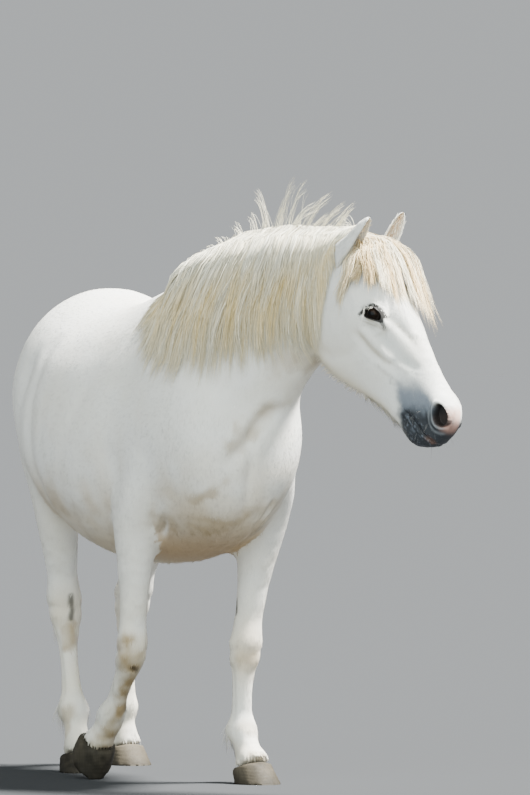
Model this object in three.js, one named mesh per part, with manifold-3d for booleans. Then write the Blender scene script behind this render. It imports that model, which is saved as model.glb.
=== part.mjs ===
// A life-size white pony in mid-step, with its head turned to its left.
// Millimetres. +Z is up, the floor is Z = 0, the pony faces -Y and its left side is +X.
// Bodies are lofts through named sections. They are joined to one animal and parted by thin cuts.
import * as THREE from "three";
import Module from "manifold-3d";

const wasm = await Module();
wasm.setup();

// ---------------------------------------------------------------- driving sizes
const GAP = 0.6; // clear width of a parting cut
const WITHERS = { y: 90, z: 1412 };
const NECK_TURN = THREE.MathUtils.degToRad(33); // the head's heading, to the pony's left
const NECK_BEND = 350; // length of neck over which it turns, from NECK_ROOT_Y forward
const NECK_ROOT_Y = 50;
const POLL = { y: -554, z: 1492 }; // top of the skull, on a straight neck
const HEAD_PITCH = THREE.MathUtils.degToRad(57.5); // face line below the horizontal
const HEAD_ROLL = THREE.MathUtils.degToRad(5); // the brow leans to the pony's left
const EYE = { along: 226, front: -20, side: 79, radius: 24 }; // in the head's own directions
const NOSTRIL = { along: 551, front: 0, side: 55, long: 27, wide: 14, deep: 20, tilt: 0.57 };
const MUZZLE_START = 500; // distance down the face where the muzzle is parted from the head
const EAR = { halfWidth: 36, cup: 1.75, wall: 5 };
const MANE_THICKNESS = 26;
const HAIR_PARTING_Y = -548; // on the straight neck: the forelock falls ahead, the mane behind
const HOOF = { toe: 74, heel: 58, halfWidth: 61, toeHeight: 78, heelHeight: 42, slope: 52 };

const AROUND = { trunk: 24, neck: 20, head: 20, limb: 10, hoof: 12, ear: 12, hair: 5 };
const STATIONS = { trunk: 19, neck: 12, limbPerBone: 5, ear: 6, mane: 20, lock: 4 };

const COLOURS = {
  coat: { color: 0xf1eee6, roughness: 0.75, metalness: 0 },
  hair: { color: 0xeee3c9, roughness: 0.65, metalness: 0 },
  horn: { color: 0x7c7263, roughness: 0.55, metalness: 0 },
  eye: { color: 0x1a1412, roughness: 0.08, metalness: 0 },
  nose: { color: 0x5c6165, roughness: 0.6, metalness: 0 },
};

// ---------------------------------------------------------------- small tools
const at = (x, y, z) => new THREE.Vector3(x, y, z);
const SIDEWAYS = at(1, 0, 0);
const UPWARD = at(0, 0, 1);

/** Reads smooth values between rows of [place, value, value, ...]. */
function track(rows) {
  const places = rows.map((row) => row[0]);
  const values = rows.flatMap((row) => row.slice(1));
  const curve = new THREE.CubicInterpolant(places, values, rows[0].length - 1);
  return (place) => Array.from(curve.evaluate(place));
}

/** Evenly spaced places from first to last, both kept. */
const places = (first, last, count) =>
  Array.from({ length: count + 1 }, (_, i) => first + ((last - first) * i) / count);

/** A power that keeps the sign, for rounded-box outlines. */
const bow = (value, fullness) => Math.sign(value) * Math.abs(value) ** (2 / fullness);

/**
 * A ring of points round a centre. Fullness 2 is an ellipse, more is squarer, less is keener.
 * sizes: side, up, down, upFullness, downFullness.
 */
function ring(count, centre, sideways, upward, { side, up, down, keenUp = 2, keenDown = 2 }) {
  return Array.from({ length: count }, (_, i) => {
    const angle = (2 * Math.PI * i) / count;
    const c = Math.cos(angle);
    const s = Math.sin(angle);
    const fullness = s > 0 ? keenUp : keenDown;
    return centre
      .clone()
      .addScaledVector(sideways, side * bow(c, fullness))
      .addScaledVector(upward, (s > 0 ? up : down) * bow(s, fullness));
  });
}

const middle = (points) =>
  points.reduce((sum, p) => sum.add(p), at(0, 0, 0)).divideScalar(points.length);

/** Closed geometry through rings of equal count, with a fan over each end that grow pushes out. */
function loft(rings, grow = 0) {
  const count = rings[0].length;
  const pushed = (end, next) => {
    const away = middle(end).sub(middle(next)).setLength(grow);
    return end.map((p) => p.clone().add(away));
  };
  const start = pushed(rings[0], rings[1]);
  const stop = pushed(rings.at(-1), rings.at(-2));
  const points = [...start, ...rings.slice(1, -1).flat(), ...stop, middle(start), middle(stop)];
  const first = points.length - 2;
  const last = points.length - 1;
  const faces = [];
  for (let r = 0; r + 1 < rings.length; r++)
    for (let i = 0; i < count; i++) {
      const a = r * count + i;
      const b = r * count + ((i + 1) % count);
      faces.push(a, b, b + count, a, b + count, a + count);
    }
  const lastRing = (rings.length - 1) * count;
  for (let i = 0; i < count; i++) {
    const next = (i + 1) % count;
    faces.push(first, next, i, last, lastRing + i, lastRing + next);
  }
  return new THREE.BufferGeometry().setFromPoints(points).setIndex(faces);
}

/** A geometry as a solid, turned to face out. */
function solid(geometry) {
  const vertProperties = new Float32Array(geometry.getAttribute("position").array);
  const triVerts = new Uint32Array(geometry.index.array);
  const make = () => new wasm.Manifold(new wasm.Mesh({ numProp: 3, vertProperties, triVerts }));
  const made = make();
  if (made.volume() > 0) return made;
  for (let i = 0; i < triVerts.length; i += 3)
    [triVerts[i], triVerts[i + 1]] = [triVerts[i + 1], triVerts[i]];
  return make();
}

/** A three.js geometry with normals and uv dropped and its shared corners merged, as a solid. */
function plainSolid(geometry, matrix) {
  const bare = (geometry.index ? geometry.toNonIndexed() : geometry).applyMatrix4(matrix);
  const position = bare.getAttribute("position");
  const seen = new Map();
  const points = [];
  const faces = [];
  for (let i = 0; i < position.count; i++) {
    const p = new THREE.Vector3().fromBufferAttribute(position, i);
    const key = p.toArray().map((v) => v.toFixed(3)).join();
    if (!seen.has(key)) {
      seen.set(key, points.length);
      points.push(p);
    }
    faces.push(seen.get(key));
  }
  const whole = [];
  for (let i = 0; i < faces.length; i += 3)
    if (new Set(faces.slice(i, i + 3)).size === 3) whole.push(...faces.slice(i, i + 3));
  return solid(new THREE.BufferGeometry().setFromPoints(points).setIndex(whole));
}

/** A solid's mesh, ready to be added to the group. */
function mesh(name, shape, look) {
  const { vertProperties, triVerts, numProp } = shape.getMesh();
  const points = [];
  for (let i = 0; i < vertProperties.length; i += numProp)
    points.push(at(vertProperties[i], vertProperties[i + 1], vertProperties[i + 2]));
  const geometry = new THREE.BufferGeometry().setFromPoints(points).setIndex([...triVerts]);
  geometry.computeVertexNormals();
  const made = new THREE.Mesh(geometry, new THREE.MeshStandardMaterial(COLOURS[look]));
  made.name = name;
  return made;
}

/** Carries a point of the straight neck and head to where the turned neck puts it. */
function turned(point) {
  const reach = NECK_ROOT_Y - point.y;
  if (reach <= 0) return point.clone();
  const rate = NECK_TURN / NECK_BEND;
  const bent = Math.min(reach, NECK_BEND);
  const heading = rate * bent;
  const straight = reach - bent;
  const x = (1 - Math.cos(heading)) / rate + straight * Math.sin(heading);
  const y = NECK_ROOT_Y - Math.sin(heading) / rate - straight * Math.cos(heading);
  return at(x + point.x * Math.cos(heading), y + point.x * Math.sin(heading), point.z);
}

// ---------------------------------------------------------------- trunk
// y, top, bottom, half width, level of the widest place, keenness above, keenness below
const TRUNK = [
  [-314, 962, 938, 12, 950, 2, 2],
  [-307, 1030, 872, 74, 952, 2, 2],
  [-280, 1106, 794, 144, 962, 2, 2],
  [-225, 1190, 722, 186, 975, 1.9, 2],
  [-140, 1290, 678, 212, 980, 1.8, 2],
  [-30, 1372, 646, 234, 978, 1.7, 2],
  [90, 1412, 622, 252, 972, 1.6, 2.1],
  [200, 1387, 606, 286, 970, 1.7, 2.2],
  [330, 1352, 598, 318, 975, 1.9, 2.2],
  [470, 1338, 604, 334, 985, 2, 2.15],
  [600, 1346, 632, 334, 990, 2, 2.1],
  [710, 1368, 680, 320, 1005, 2, 2.2],
  [800, 1388, 740, 302, 1030, 2, 2.2],
  [890, 1379, 805, 278, 1060, 2, 2.1],
  [980, 1332, 880, 240, 1085, 2, 2.1],
  [1045, 1268, 955, 188, 1100, 2, 2],
  [1084, 1206, 1022, 122, 1112, 2, 2],
  [1100, 1132, 1096, 16, 1114, 2, 2],
];

function trunk(grow) {
  const sizes = track(TRUNK);
  const first = TRUNK[0][0];
  const length = TRUNK.at(-1)[0] - first;
  // Stations stand closer together towards the breast and the rump.
  const eased = (share) => share - (0.72 * Math.sin(2 * Math.PI * share)) / (2 * Math.PI);
  const rings = places(0, 1, STATIONS.trunk).map((share) => {
    const y = first + length * eased(share);
    const [top, bottom, half, level, keenUp, keenDown] = sizes(y);
    const side = half + grow;
    const up = top - level + grow;
    const down = level - bottom + grow;
    return ring(AROUND.trunk, at(0, y, level), SIDEWAYS, UPWARD, { side, up, down, keenUp, keenDown });
  });
  return solid(loft(rings, grow));
}

// ---------------------------------------------------------------- neck
// step, crest y, crest z, underline y, underline z, half width, keenness of crest, keenness of throat
const NECK = [
  [0, 170, 1385, 110, 800, 120, 1.5, 2],
  [1, 70, 1420, -100, 830, 178, 1.6, 2.1],
  [2, -50, 1452, -212, 880, 184, 1.5, 2.1],
  [3, -170, 1474, -278, 955, 158, 1.5, 2.1],
  [4, -290, 1487, -320, 1038, 124, 1.5, 2],
  [5, -400, 1492, -366, 1102, 101, 1.6, 2],
  [6, -500, 1491, -418, 1156, 88, 1.8, 2],
  [7, -566, 1476, -480, 1210, 72, 2, 2],
];
const neckSizes = track(NECK);

/** Crest and underline of the straight neck at a step, with the section's half width. */
function neckSection(step) {
  const [crestY, crestZ, underY, underZ, side, keenUp, keenDown] = neckSizes(step);
  return { crest: at(0, crestY, crestZ), under: at(0, underY, underZ), side, keenUp, keenDown };
}

function neck(grow) {
  const rings = places(0, NECK.length - 1, STATIONS.neck).map((step) => {
    const { crest, under, side, keenUp, keenDown } = neckSection(step);
    const centre = crest.clone().add(under).divideScalar(2);
    const half = crest.distanceTo(under) / 2 + grow;
    const upward = crest.clone().sub(under).normalize();
    const reach = { side: side + grow, up: half, down: half, keenUp, keenDown };
    return ring(AROUND.neck, centre, SIDEWAYS, upward, reach).map(turned);
  });
  return solid(loft(rings, grow));
}

// ---------------------------------------------------------------- head
const headDown = at(0, -Math.cos(HEAD_PITCH), -Math.sin(HEAD_PITCH));
const headLeft = at(1, 0, 0).applyAxisAngle(headDown, -HEAD_ROLL);
const headFront = headDown.clone().cross(headLeft);

/** A point by distance down the face from the poll, out of the face, and to the pony's left. */
const onHead = (along, front, side) =>
  at(0, POLL.y, POLL.z)
    .addScaledVector(headDown, along)
    .addScaledVector(headFront, front)
    .addScaledVector(headLeft, side);

// Distance from the poll, face line, jaw line, then half widths: face, upper, middle, lower
const HEAD = [
  [-35, -26, 66, 22, 36, 36, 22],
  [-12, 8, 100, 42, 60, 64, 42],
  [42, 36, 152, 54, 80, 84, 60],
  [104, 50, 206, 64, 90, 92, 66],
  [166, 56, 242, 68, 99, 95, 66],
  [220, 56, 250, 60, 102, 92, 62],
  [270, 52, 240, 48, 88, 85, 58],
  [333, 47, 208, 39, 68, 73, 50],
  [395, 42, 174, 34, 56, 60, 44],
  [458, 39, 150, 30, 49, 52, 41],
  [510, 39, 137, 33, 52, 50, 41],
  [548, 38, 130, 36, 54, 48, 42],
  [578, 26, 117, 33, 48, 44, 40],
  [598, 0, 97, 24, 38, 37, 32],
  [608, -30, 76, 13, 24, 25, 20],
];
const headSizes = track(HEAD);

/** The outline of the head at a distance from the poll, as one closed curve. */
function headOutline(along, grow) {
  const [front, jaw, face, upper, middle, lower] = headSizes(along);
  const level = (share) => front + grow - (front + jaw + 2 * grow) * share;
  const half = [
    [face * 0.55, 0.01],
    [face + grow, 0.08],
    [upper + grow, 0.28],
    [middle + grow, 0.56],
    [lower + grow, 0.88],
    [lower * 0.6, 0.99],
  ];
  const right = half.map(([side, share]) => onHead(along, level(share), side));
  const left = half.map(([side, share]) => onHead(along, level(share), -side)).reverse();
  return new THREE.CatmullRomCurve3([...right, ...left], true, "centripetal");
}

function head(grow) {
  const stops = HEAD.map((row) => row[0]);
  const between = stops.slice(1, -5).map((stop, i) => (stop + stops[i + 2]) / 2);
  const rings = [...stops, ...between]
    .sort((a, b) => a - b)
    .map((along) => headOutline(along, grow).getPoints(AROUND.head).slice(0, -1).map(turned));
  return solid(loft(rings, grow));
}

/** The eyeball, grown for the socket that is cut round it. */
function eyeball(side, grow) {
  const centre = turned(onHead(EYE.along, EYE.front, side * EYE.side));
  const ball = new THREE.IcosahedronGeometry(EYE.radius + grow, 2);
  return plainSolid(ball, new THREE.Matrix4().setPosition(centre));
}

/** A direction of the straight head, as the turned neck carries it. */
const aimed = (direction) => {
  const far = at(0, POLL.y, 0);
  return turned(far.clone().add(direction)).sub(turned(far));
};

/** The hollow of a nostril: an egg, long down and back, that opens to the side. */
function nostril(side) {
  const long = headDown.clone().multiplyScalar(Math.cos(NOSTRIL.tilt));
  long.addScaledVector(headFront, -Math.sin(NOSTRIL.tilt));
  const inward = headLeft.clone().multiplyScalar(-side);
  const wide = long.clone().cross(inward).normalize();
  const axes = new THREE.Matrix4().makeBasis(
    aimed(long).multiplyScalar(NOSTRIL.long),
    aimed(wide).multiplyScalar(NOSTRIL.wide),
    aimed(inward).multiplyScalar(NOSTRIL.deep),
  );
  axes.setPosition(turned(onHead(NOSTRIL.along, NOSTRIL.front, side * NOSTRIL.side)));
  return plainSolid(new THREE.IcosahedronGeometry(1, 1), axes);
}

// ---------------------------------------------------------------- ears
// share of length, half width, depth of the cup, thickness share
const EAR_ROWS = [
  [0, 0.86, 0.8, 1.6],
  [0.15, 0.92, 0.74, 1.4],
  [0.35, 1, 0.6, 1],
  [0.6, 0.86, 0.48, 1],
  [0.82, 0.52, 0.3, 0.9],
  [0.94, 0.26, 0.16, 0.8],
  [1, 0.12, 0.08, 0.7],
];
const earSizes = track(EAR_ROWS);
const EARS = {
  left: { root: [32, 0, 92], reach: { out: 36, forward: 52, up: 114 }, twist: 0.7 },
  right: { root: [44, -24, 68], reach: { out: 18, forward: 93, up: 109 }, twist: -0.1 },
};

/** A cupped leaf that stands on the skull. Reach: out, forward, up. Twist turns the cup outward. */
function ear(side, { root: [along, front, out], reach, twist }, grow = 0) {
  const root = turned(onHead(along, front, side * out));
  const ahead = at(Math.sin(NECK_TURN), -Math.cos(NECK_TURN), 0);
  const outward = at(side * Math.cos(NECK_TURN), side * Math.sin(NECK_TURN), 0);
  const stem = at(0, 0, reach.up).addScaledVector(ahead, reach.forward);
  stem.addScaledVector(outward, reach.out);
  const length = stem.length();
  stem.normalize();
  const opening = ahead.clone().addScaledVector(stem, -ahead.dot(stem)).normalize();
  opening.applyAxisAngle(stem, -side * twist);
  const across = stem.clone().cross(opening);
  const rings = places(-0.16, 1, STATIONS.ear).map((share) => {
    const [width, cup, wall] = earSizes(Math.max(share, 0));
    const half = EAR.halfWidth * width + grow;
    const depth = EAR.halfWidth * EAR.cup * cup + grow;
    const thick = EAR.wall * wall + 2 * grow;
    const arch = (wide, deep) =>
      places(0, Math.PI, AROUND.ear / 2 - 1).map((angle) =>
        root
          .clone()
          .addScaledVector(stem, share * length)
          .addScaledVector(across, wide * Math.cos(angle))
          .addScaledVector(opening, -deep * Math.sin(angle)),
      );
    const inner = arch(Math.max(half - thick, half * 0.35), Math.max(depth - thick, 0.5)).reverse();
    return [...arch(half, depth), ...inner];
  });
  return solid(loft(rings, grow));
}

// ---------------------------------------------------------------- limbs
/**
 * Rows of a limb: [level, side, front, back, fullness, shift forward]. The level runs 0..n along
 * the joints. A ring lies square to the bone and half way between two bones at a joint.
 */
function limb(joints, rows, toeOut, grow) {
  const sizes = track(rows);
  const sideways = at(Math.cos(toeOut), Math.sin(toeOut), 0);
  const bone = (i) => joints[i + 1].clone().sub(joints[i]).normalize();
  const first = rows[0][0];
  const last = rows.at(-1)[0];
  const rings = places(first, last, Math.round((last - first) * STATIONS.limbPerBone)).map((level) => {
    const index = Math.min(Math.floor(level), joints.length - 2);
    const share = level - index;
    const centre = joints[index].clone().lerp(joints[index + 1], share);
    const along = bone(index);
    const near = share < 0.5 ? Math.max(index - 1, 0) : Math.min(index + 1, joints.length - 2);
    const mix = Math.max(0, Math.abs(share - 0.5) - 0.2) / 0.6;
    along.lerp(bone(near), mix).normalize();
    const side = sideways.clone().addScaledVector(along, -sideways.dot(along)).normalize();
    const forward = side.clone().cross(along).normalize();
    if (forward.y > 0) forward.negate();
    const [wide, front, back, fullness, shift] = sizes(level);
    centre.addScaledVector(forward, shift);
    const reach = { side: wide + grow, up: front + grow, down: back + grow };
    return ring(AROUND.limb, centre, side, forward, { ...reach, keenUp: fullness, keenDown: fullness });
  });
  return solid(loft(rings));
}

// Joints of a foreleg: top of the shoulder blade, elbow, knee, fetlock, coronet.
const FORE_ROWS = [
  [0, 18, 34, 50, 2, 0],
  [0.2, 44, 76, 90, 2, 0],
  [0.45, 66, 132, 112, 2.1, 10],
  [0.68, 64, 164, 130, 2, 10],
  [0.85, 65, 158, 140, 2.1, 5],
  [1, 71, 118, 132, 2.2, 0],
  [1.15, 71, 88, 106, 2.1, 0],
  [1.35, 56, 66, 76, 2.1, 0],
  [1.55, 44, 51, 52, 2.1, 0],
  [1.8, 39, 42, 42, 2.3, 0],
  [1.93, 44, 44, 42, 2.5, 2],
  [2.05, 45, 45, 44, 2.6, 2],
  [2.17, 38, 37, 44, 2.5, 2],
  [2.34, 30, 30, 38, 2.2, 0],
  [2.6, 28, 28, 36, 2.2, 0],
  [2.82, 31, 31, 43, 2.2, 0],
  [3, 42, 41, 56, 2.2, 0],
  [3.3, 37, 37, 46, 2.2, 0],
  [3.6, 36, 37, 40, 2.1, 0],
  [3.85, 45, 44, 47, 2.1, 0],
  [4.12, 52, 51, 57, 2.1, 0],
];

// Joints of a hind leg: hip, stifle, hock, fetlock, coronet.
const HIND_ROWS = [
  [0, 50, 100, 100, 2, 0],
  [0.15, 74, 130, 152, 2, 0],
  [0.3, 90, 150, 196, 2.1, 0],
  [0.6, 102, 162, 226, 2.2, 0],
  [0.85, 100, 150, 222, 2.2, 0],
  [1, 90, 128, 196, 2.2, 0],
  [1.18, 75, 102, 146, 2.1, 0],
  [1.4, 64, 76, 100, 2.1, 0],
  [1.62, 52, 54, 68, 2.1, 0],
  [1.8, 44, 46, 66, 2.1, 0],
  [1.93, 49, 53, 76, 2.3, 0],
  [2.06, 50, 53, 64, 2.4, 0],
  [2.2, 40, 43, 48, 2.3, 0],
  [2.38, 28, 30, 38, 2.2, 0],
  [2.64, 26, 28, 36, 2.2, 0],
  [2.84, 31, 33, 43, 2.2, 0],
  [3, 45, 43, 57, 2.2, 0],
  [3.3, 38, 37, 45, 2.2, 0],
  [3.6, 34, 35, 38, 2.1, 0],
  [3.85, 43, 42, 46, 2.1, 0],
  [4.12, 51, 50, 56, 2.1, 0],
];

const degrees = THREE.MathUtils.degToRad;
const LEGS = {
  foreleg_left: {
    joints: [[108, 60, 1300], [170, 34, 790], [120, 58, 368], [116, 66, 146], [126, 16, 62]],
    toeOut: degrees(14),
    heelUp: 0,
  },
  foreleg_right: {
    joints: [[-108, 70, 1300], [-182, 96, 785], [-170, 176, 352], [-174, 335, 168], [-192, 382, 108]],
    toeOut: degrees(-12),
    heelUp: degrees(50),
    lean: degrees(16),
  },
  hindleg_left: {
    joints: [[120, 880, 1270], [178, 830, 880], [144, 1030, 470], [130, 1070, 172], [134, 1062, 66]],
    toeOut: degrees(8),
    heelUp: 0,
  },
  hindleg_right: {
    joints: [[-130, 870, 1270], [-190, 770, 880], [-120, 868, 468], [-122, 790, 174], [-122, 747, 66]],
    toeOut: degrees(-8),
    heelUp: 0,
  },
};
for (const leg of Object.values(LEGS)) leg.joints = leg.joints.map((place) => at(...place));

// ---------------------------------------------------------------- hooves
/** A hoof on its sole at the origin, toe to -Y. Its upper face slopes down to the heels. */
function hoofShape() {
  const run = 1 / Math.tan(degrees(HOOF.slope));
  const rings = places(0, 1, 2).map((share) =>
    ring(AROUND.hoof, at(0, 0, 0), at(1, 0, 0), at(0, -1, 0), {
      side: HOOF.halfWidth - 9 * share,
      up: HOOF.toe,
      down: HOOF.heel,
      keenUp: 2.2,
      keenDown: 2.6,
    }).map((p) => {
      const rear = THREE.MathUtils.clamp((p.y + HOOF.toe) / (HOOF.toe + HOOF.heel), 0, 1);
      const height = THREE.MathUtils.lerp(HOOF.toeHeight, HOOF.heelHeight, rear) * share;
      return at(p.x, p.y * (1 - 0.06 * share) + height * run * (1 - 0.35 * rear), height);
    }),
  );
  return loft(rings);
}

/** The hoof under its coronet, flat on the floor or tipped on its toe, and its upper plane. */
function hoof({ joints, toeOut, heelUp, lean = 0 }) {
  const coronet = joints.at(-1);
  const place = new THREE.Matrix4().makeRotationZ(toeOut);
  place.multiply(new THREE.Matrix4().makeRotationY(lean));
  place.multiply(new THREE.Matrix4().makeRotationX(heelUp));
  const geometry = hoofShape().applyMatrix4(place);
  geometry.computeBoundingBox();
  const sink = heelUp ? 3 : 0;
  const crown = (heelUp ? at(0, 34, 60) : at(0, 26, 0)).applyMatrix4(place);
  const shift = at(coronet.x - crown.x, coronet.y - crown.y, -geometry.boundingBox.min.z - sink);
  geometry.translate(shift.x, shift.y, shift.z);
  const fall = Math.atan2(HOOF.toeHeight - HOOF.heelHeight, HOOF.toe + HOOF.heel - 20);
  const normal = at(0, Math.sin(fall), Math.cos(fall)).transformDirection(place);
  const onTop = at(0, 0, (HOOF.toeHeight + HOOF.heelHeight) / 2).applyMatrix4(place).add(shift);
  return { shape: solid(geometry).trimByPlane([0, 0, 1], 0), normal, offset: normal.dot(onTop) };
}

// ---------------------------------------------------------------- hair
/** A tapering lock along a curve: flat against the body, broad in the middle, keen at the tip. */
function lock(points, { broad, thick, flatTo, taper = 1 }) {
  const curve = new THREE.CatmullRomCurve3(points);
  const rings = places(0, 1, STATIONS.lock).map((place) => {
    const share = place ** 0.8;
    const along = curve.getTangent(share);
    const side = flatTo.clone().cross(along).normalize();
    const lift = along.clone().cross(side).normalize();
    const fill = 1 - 0.88 * share ** (4 / taper);
    const reach = { side: broad * fill, up: thick * fill, down: thick * fill };
    return ring(AROUND.hair, curve.getPoint(share), side, lift, reach);
  });
  return solid(loft(rings));
}

// Neck step, how far the hair hangs, how far its tips drift back, how far it stands over the crest
const MANE = [
  [0.75, 200, 60, 44],
  [1.2, 262, 62, 56],
  [1.8, 312, 60, 60],
  [2.6, 330, 52, 58],
  [3.4, 326, 44, 52],
  [4.2, 318, 34, 48],
  [5, 304, 20, 46],
  [5.8, 286, 4, 44],
  [6.4, 240, -4, 42],
  [6.8, 150, 0, 40],
];
const maneSizes = track(MANE);
const MANE_LEVELS = [0, 0.06, 0.18, 0.36, 0.58, 0.8, 1];

/** Half width of the straight neck at a place, found on the section that passes through it. */
function neckHalfWidth(y, z) {
  let [low, high] = [0, NECK.length - 1];
  for (let i = 0; i < 16; i++) {
    const step = (low + high) / 2;
    const { crest, under } = neckSection(step);
    const depth = (crest.z - z) / (crest.z - under.z);
    if (crest.y + (under.y - crest.y) * depth > y) low = step;
    else high = step;
  }
  const { crest, under, side, keenUp } = neckSection(low);
  const share = Math.abs(1 - (2 * (crest.z - z)) / (crest.z - under.z));
  return share < 1 ? side * (1 - share ** keenUp) ** (1 / keenUp) : 0;
}

/** The mane: a curtain that stands over the crest and falls down the right side, with a ragged hem. */
function mane() {
  const rings = places(MANE[0][0], MANE.at(-1)[0], STATIONS.mane).map((step, i) => {
    const [hang, drift, crestHair] = maneSizes(step);
    const { crest } = neckSection(step);
    const reach = hang * (i % 2 ? 1.05 : 0.94);
    const lift = crestHair * (i % 2 ? 1 : 0.84);
    const widest = (share, y, z) =>
      Math.max(...[0.4, 0.7, 1].map((part) => neckHalfWidth(y, crest.z + (z - crest.z) * part)));
    const level = (share, depth, raised) => {
      const y = crest.y + drift * share ** 1.4;
      const z = crest.z - reach * share;
      const out = share ? widest(share, y, z) + depth : 0;
      return at(-Math.max(out, 0), y, z + raised * (1 - share) ** 3);
    };
    const outer = MANE_LEVELS.map((share) =>
      level(share, MANE_THICKNESS * (0.8 + 0.6 * share - 1.1 * share ** 3), lift),
    );
    const inner = MANE_LEVELS.slice(1).reverse();
    const back = inner.map((share) => level(share, share === 1 ? 2 : -34, -6));
    const left = [
      at(22, crest.y, crest.z - 46),
      at(34, crest.y, crest.z - 26),
      at(20, crest.y, crest.z + lift * 0.6),
    ];
    return [...outer, ...back, ...left].map(turned);
  });
  return solid(loft(rings));
}

// Locks that stand up from the crest: root y, tip y, tip z, broad
const STANDING = [
  [-232, -176, 1640, 12],
  [-268, -318, 1660, 14],
  [-296, -362, 1652, 12],
  [-330, -446, 1616, 13],
  [-372, -498, 1584, 14],
  [-450, -530, 1574, 12],
];

function standingLocks() {
  return STANDING.map(([rootY, tipY, tipZ, broad]) => {
    const middle = at(-6, rootY * 0.62 + tipY * 0.38, tipZ - 62);
    const points = [at(0, rootY, 1492), middle, at(6, tipY, tipZ)].map(turned);
    return lock(points, { broad, thick: broad * 0.7, flatTo: SIDEWAYS, taper: 3 });
  });
}

// Locks of the forelock, in the head's own directions: middle, then tip
const FORELOCK = [
  [84, 6, -84, 130, -64, -88],
  [86, 40, -82, 162, -16, -100],
  [84, 68, -62, 194, 26, -88],
  [88, 94, -4, 230, 70, -14],
  [90, 96, 28, 268, 72, 20],
  [90, 94, 58, 312, 70, 52],
  [84, 90, 88, 306, 74, 88],
  [72, 78, 106, 262, 74, 112],
  [54, 44, 106, 186, 34, 122],
];

function forelock() {
  return FORELOCK.map(([midAlong, midFront, midSide, tipAlong, tipFront, tipSide]) => {
    const root = onHead(-8, 16, midSide * 0.32);
    const rise = onHead(midAlong * 0.66, midFront * 0.62 + 24, midSide * 0.46);
    const middle = onHead(midAlong, midFront, midSide);
    const points = [root, rise, middle, onHead(tipAlong, tipFront, tipSide)].map(turned);
    const face = headFront.clone().addScaledVector(headLeft, midSide / 90);
    return lock(points, { broad: 30, thick: 17, flatTo: aimed(face) });
  });
}

// The tail down its length: x, y, z, half width, half thickness
const TAIL = [
  [0, 1050, 1226, 34, 26],
  [0, 1104, 1192, 46, 30],
  [-2, 1128, 1120, 56, 36],
  [-8, 1134, 1010, 60, 42],
  [-20, 1136, 860, 58, 42],
  [-34, 1136, 700, 48, 38],
  [-36, 1132, 560, 40, 34],
  [-28, 1128, 430, 34, 26],
  [-20, 1124, 322, 8, 7],
];

function tail() {
  const rings = TAIL.map(([x, y, z, wide, thick], i) => {
    const before = TAIL[Math.max(i - 1, 0)];
    const after = TAIL[Math.min(i + 1, TAIL.length - 1)];
    const along = at(after[0] - before[0], after[1] - before[1], after[2] - before[2]).normalize();
    const side = SIDEWAYS.clone().addScaledVector(along, -along.x).normalize();
    const reach = { side: wide, up: thick, down: thick };
    return ring(AROUND.limb, at(x, y, z), side, along.clone().cross(side), reach);
  });
  return solid(loft(rings));
}

// ---------------------------------------------------------------- the whole animal
/** The two sides of a solid about a plane, parted by a clear gap: [ahead of it, behind it]. */
function part(shape, normal, offset) {
  const n = normal.toArray();
  return [
    shape.trimByPlane(n, offset + GAP / 2),
    shape.trimByPlane(n.map((v) => -v), -offset + GAP / 2),
  ];
}

const largest = (shape) => shape.decompose().reduce((a, b) => (a.volume() > b.volume() ? a : b));
const join = (shapes) => shapes.reduce((a, b) => a.add(b));

const pony = new THREE.Group();
pony.name = "pony";
const keep = (name, shape, look) => pony.add(mesh(name, largest(shape), look));

// Planes between head and neck, and between neck and trunk.
const pollPoint = turned(onHead(-30, -10, 0));
const throatPoint = turned(onHead(160, -235, 0));
const pollPlane = throatPoint.clone().sub(pollPoint).cross(aimed(headLeft)).normalize();
if (pollPlane.y > 0) pollPlane.negate();
const BASE = { top: at(0, 30, 1428), bottom: at(0, -306, 1000) };
const basePlane = BASE.bottom.clone().sub(BASE.top).cross(at(1, 0, 0)).normalize();
if (basePlane.y > 0) basePlane.negate();

const body = join([trunk(0), neck(0), head(0)]);
const bodyGrown = join([trunk(1), neck(1), head(1)]);
const [front, trunkShape] = part(body, basePlane, basePlane.dot(BASE.top));
const [headShape, neckShape] = part(front, pollPlane, pollPlane.dot(pollPoint));

const sides = [["left", 1], ["right", -1]];
const sockets = join(sides.map(([, side]) => eyeball(side, 0.5)));
keep("trunk", trunkShape, "coat");
keep("neck", neckShape, "coat");
const muzzlePoint = turned(onHead(MUZZLE_START, 0, 0));
const muzzlePlane = aimed(headDown).normalize();
const [muzzleShape, skullShape] = part(largest(headShape), muzzlePlane, muzzlePlane.dot(muzzlePoint));
keep("head", skullShape.subtract(sockets), "coat");
keep("muzzle", muzzleShape.subtract(join(sides.map(([, side]) => nostril(side)))), "nose");
const ears = sides.map(([name, side]) => [name, side, EARS[name]]);
for (const [name, side, aim] of ears) {
  keep("eye_" + name, eyeball(side, 0), "eye");
  keep("ear_" + name, ear(side, aim).subtract(bodyGrown), "coat");
}

const LEG_CUTS = [["upper", 2], ["cannon", 3]];
for (const [name, leg] of Object.entries(LEGS)) {
  const rows = name.startsWith("fore") ? FORE_ROWS : HIND_ROWS;
  let rest = largest(limb(leg.joints, rows, leg.toeOut, 0).subtract(bodyGrown));
  for (const [piece, joint] of LEG_CUTS) {
    const above = leg.joints[joint].clone().sub(leg.joints[joint - 1]).normalize();
    const below = leg.joints[joint + 1].clone().sub(leg.joints[joint]).normalize();
    const normal = above.add(below).normalize();
    const [lower, upper] = part(rest, normal, normal.dot(leg.joints[joint]));
    keep(`${name}_${piece}`, upper, "coat");
    rest = largest(lower);
  }
  const { shape, normal, offset } = hoof(leg);
  keep(name + "_pastern", part(rest, normal, offset)[0], "coat");
  keep(name + "_hoof", part(shape, normal, offset)[1], "horn");
}

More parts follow.
